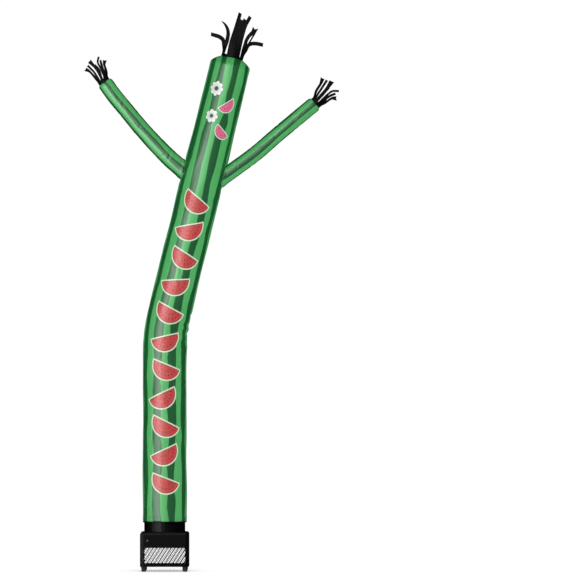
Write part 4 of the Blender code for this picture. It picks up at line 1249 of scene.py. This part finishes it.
class CapOperator(bpy.types.Operator):
    """Makes the domed discs that close the tube and the sleeves"""

    bl_idname = "dancer.caps"
    bl_label = "End caps"

    def execute(self, context):
        sizes, colours = context.scene.dancer_sizes, context.scene.dancer_colours
        finish = cloth_finish("striped_cap", HEAD_CAP_GIRTH, sizes, colours)
        small = cloth_finish("striped_wrist_cap", WRIST_CAP_GIRTH, sizes, colours)
        centre, way = tube_line(np.array([RIM_Z]))
        heights, diameters = zip(*TUBE_DIAMETERS)
        radius = float(np.interp(RIM_Z, heights, diameters)) / 2.0

        def head_stripes(turn):
            return tube_stripes(turn, np.array(TUBE_LENGTH))

        seat = (centre[0], way[0], radius)
        cap = add_cap("head_cloth", *seat, HEAD_DOME, HEAD_CAP_COLUMNS, finish, head_stripes)
        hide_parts("head_cap")
        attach(cap, "root")
        for side, table, _, _, seed, _ in SLEEVES:
            total = length_along(np.array(table)[:, :2])
            centre, way, diameter = smooth_line(table, total[-1:])

            def wrist_stripes(turn, seed=seed):
                return sleeve_stripes(turn, np.array(WRIST_PLACE), seed)

            name = f"wrist_cloth_{side}"
            seat = (centre[0], way[0], diameter[0] / 2.0)
            cap = add_cap(name, *seat, ARM_DOME, ARM_COLUMNS, small, wrist_stripes)
            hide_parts(f"arm_cap_{side}")
            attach(cap, "root")
        return {"FINISHED"}


class FringeOperator(bpy.types.Operator):
    """Makes the black ribbon fringe on the head and on both wrists"""

    bl_idname = "dancer.fringes"
    bl_label = "Fringes"

    def execute(self, context):
        colours = context.scene.dancer_colours
        finish = ribbon_finish("satin_ribbon", colours)
        centre, way = tube_line(np.array([RIM_Z]))
        head = (centre[0], way[0], HAIR_RADIUS, HEAD_CAP_RADIUS, HEAD_DOME, HAIR_ROOT)
        places = [("hair_ribbon", "hair_fringe", head, HAIR, "head_cloth")]
        for side, table, strips in (("left", LEFT_ARM, LEFT_HAND), ("right", RIGHT_ARM, RIGHT_HAND)):
            total = length_along(np.array(table)[:, :2])
            wrist, wrist_way, diameter = smooth_line(table, total[-1:])
            hand = (wrist[0], wrist_way[0], HAND_RADIUS, diameter[0] / 2.0, ARM_DOME, HAND_ROOT)
            places.append((f"hand_ribbon_{side}", f"hand_fringe_{side}", hand, strips, f"wrist_cloth_{side}"))
        for name, node, seat, strips, under in places:
            fringe, flat, area = add_fringe(name, *seat, strips, finish)
            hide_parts(node)
            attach(fringe, "root")
        return {"FINISHED"}


def switch_marks(rocker):
    """A raised line and ring, the plain marks of on and off, seated on the rocker's face."""
    place = rocker.matrix_world
    corners = np.array([place @ vertex.co for vertex in rocker.data.vertices])
    faces = [tuple(polygon.vertices) for polygon in rocker.data.polygons]
    face = BVHTree.FromPolygons([Vector(corner) for corner in corners], faces)
    low, high = corners.min(axis=0), corners.max(axis=0)
    middle, reach = (low + high) / 2.0, (high - low) / 2.0
    turns = np.linspace(0.0, 2.0 * math.pi, 24, endpoint=False)
    rise = RING_REACH * reach[0] / reach[2]
    ring = [(MARK_ASIDE + RING_REACH * math.cos(turn), rise * math.sin(turn)) for turn in turns]
    line = [(-MARK_ASIDE, rise) for rise in np.linspace(-LINE_REACH, LINE_REACH, 6)]
    points, quads = [], []
    for spots, closed in ((ring, True), (line, False)):
        path = []
        for across, rise in spots:
            start = (middle[0] + across * reach[0], low[1] - 0.05, middle[2] + rise * reach[2])
            hit, normal, _, _ = face.ray_cast(Vector(start), Vector((0.0, 1.0, 0.0)))
            if hit is None:
                raise RuntimeError("a switch mark misses the rocker")
            path.append((np.array(hit), np.array(normal)))
        count = len(path)
        first = len(points)
        for index, (spot, normal) in enumerate(path):
            before = path[(index - 1) % count if closed else max(0, index - 1)][0]
            after = path[(index + 1) % count if closed else min(count - 1, index + 1)][0]
            aside = np.cross(after - before, normal)
            aside = aside / np.linalg.norm(aside) * MARK_HALF_WIDTH
            for shift, lift in ((-1.0, -1.0), (1.0, -1.0), (1.0, 1.0), (-1.0, 1.0)):
                points.append(spot + aside * shift + normal * (lift * MARK_HALF_THICK))
        quads += (ring_faces(count, 4, closed) + first).tolist()
        if not closed:
            end = first + (count - 1) * 4
            quads += [[first + 3, first + 2, first + 1, first], [end, end + 1, end + 2, end + 3]]
    paint = Finish("switch_paint")
    grain = paint.noise(paint.object_place(), 900.0, 2.0)
    paint.colour(paint.mix(grain, (0.42, 0.42, 0.41), (0.55, 0.55, 0.54)))
    paint.roughness(0.5 + grain * 0.1)
    marks = add_piece("switch_marks", points, quads, paint.material)
    turn_outwards(marks)
    return marks


class BlowerOperator(bpy.types.Operator):
    """Finishes the blower's moulded parts"""

    bl_idname = "dancer.blower"
    bl_label = "Blower"

    def execute(self, context):
        colours = context.scene.dancer_colours
        housing = plastic_finish("moulded_housing", colours.plastic_black)
        lattice = plastic_finish("moulded_lattice", colours.plastic_black, 0.40)
        rubber = rubber_finish("foot_rubber", (0.016, 0.016, 0.016))
        gloss = plastic_finish("switch_bezel_gloss", (0.008, 0.008, 0.008), 0.22, 0.04)
        key = plastic_finish("switch_rocker_gloss", (0.020, 0.020, 0.022), 0.26, 0.04)
        for name, node in list(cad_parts.items()):
            if name.startswith(("housing", "base")):
                material, slot = housing, "housing"
            elif name.startswith("grille"):
                material, slot = lattice, "lattice"
            elif name.startswith("foot"):
                material, slot = rubber, "foot"
            elif name == "switch_bezel":
                material, slot = gloss, "bezel"
            elif name == "switch_rocker":
                material, slot = key, "rocker"
            else:
                continue
            copy = bpy.data.objects.new(f"{name}_moulded", node.data.copy())
            context.scene.collection.objects.link(copy)
            copy.matrix_world = node.matrix_world
            copy.data.materials.clear()
            copy.data.materials.append(material)
            copy.data.shade_smooth()
            copy.data.set_sharp_from_angle(angle=math.radians(32.0))
            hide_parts(name)
            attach(copy, "rocker" if name == "switch_rocker" else "root")
        marks = switch_marks(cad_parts["switch_rocker"])
        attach(marks, "rocker")
        return {"FINISHED"}


def add_lamp(name, place, aim, width, height, brightness, roll, sheen_only):
    """An oblong lamp whose power grows with its size, so that brightness alone sets its look."""
    lamp = bpy.data.lights.new(name, "AREA")
    lamp.shape = "RECTANGLE"
    lamp.size = width
    lamp.size_y = height
    lamp.energy = brightness * math.pi * width * height
    holder = bpy.data.objects.new(name, lamp)
    bpy.context.scene.collection.objects.link(holder)
    holder.location = place
    way = Vector(aim) - Vector(place)
    holder.rotation_euler = way.to_track_quat("-Z", "Y").to_euler()
    holder.rotation_euler.rotate_axis("Z", math.radians(roll))
    holder.visible_camera = False
    holder.visible_diffuse = not sheen_only


class StageOperator(bpy.types.Operator):
    """Sets the pale floor, the light and the camera"""

    bl_idname = "dancer.stage"
    bl_label = "Stage"

    def execute(self, context):
        scene = context.scene
        scene.view_settings.view_transform = "Standard"
        turns = np.linspace(0.0, 2.0 * math.pi, FLOOR_COLUMNS, endpoint=False)
        rings = [(reach * math.sin(a), -reach * math.cos(a), 0.0) for reach in FLOOR_RINGS for a in turns]
        faces = ring_faces(len(FLOOR_RINGS), FLOOR_COLUMNS, False).tolist() + [list(range(FLOOR_COLUMNS))]
        floor = add_piece("pale_floor", np.array(rings), faces, floor_finish("pale_paper"), 60.0)
        floor.visible_glossy = False
        shell = bmesh.new()
        bmesh.ops.create_uvsphere(shell, u_segments=48, v_segments=24, radius=BACKDROP_RADIUS)
        mesh = bpy.data.meshes.new("pale_backdrop")
        shell.to_mesh(mesh)
        shell.free()
        mesh.materials.append(backdrop_finish("pale_backdrop"))
        backdrop = bpy.data.objects.new("pale_backdrop", mesh)
        scene.collection.objects.link(backdrop)
        backdrop.visible_diffuse = False
        backdrop.visible_glossy = False
        backdrop.visible_shadow = False

        world = bpy.data.worlds.new("studio_white")
        scene.world = world
        world.use_nodes = True
        world.node_tree.nodes["Background"].inputs["Color"].default_value = WHITE
        world.node_tree.nodes["Background"].inputs["Strength"].default_value = WORLD_STRENGTH
        world.cycles_visibility.glossy = False

        for lamp in LAMPS:
            add_lamp(*lamp)

        camera = bpy.data.cameras.new("camera")
        holder = bpy.data.objects.new("camera", camera)
        scene.collection.objects.link(holder)
        camera.lens = SENSOR_WIDTH * -CAMERA_PLACE[1] / PICTURE_WIDTH
        camera.clip_end = 150.0
        holder.location = CAMERA_PLACE
        holder.rotation_euler = (math.pi / 2.0, 0.0, 0.0)
        scene.camera = holder
        return {"FINISHED"}


class DancerPanel(bpy.types.Panel):
    """Lists the sizes, the colours and the steps"""

    bl_idname = "DANCER_PT_panel"
    bl_label = "Air Dancer"
    bl_space_type = "VIEW_3D"
    bl_region_type = "UI"
    bl_category = "Air Dancer"

    def draw(self, context):
        layout = self.layout
        for group in (context.scene.dancer_sizes, context.scene.dancer_colours):
            column = layout.column(align=True)
            for name in group.__annotations__:
                column.prop(group, name)
        for step in STEPS:
            layout.operator(step.bl_idname)


STEPS = (StageOperator, TubeOperator, SleeveOperator, CapOperator, FringeOperator, BlowerOperator)
CLASSES = (DancerSizes, DancerColours) + STEPS + (DancerPanel,)


def register():
    for entry in CLASSES:
        bpy.utils.register_class(entry)
    bpy.types.Scene.dancer_sizes = PointerProperty(type=DancerSizes)
    bpy.types.Scene.dancer_colours = PointerProperty(type=DancerColours)


def unregister():
    del bpy.types.Scene.dancer_colours
    del bpy.types.Scene.dancer_sizes
    for entry in reversed(CLASSES):
        bpy.utils.unregister_class(entry)


def main():
    register()
    for step in STEPS:
        group, name = step.bl_idname.split(".")
        getattr(getattr(bpy.ops, group), name)()


if __name__ == "__main__":
    main()
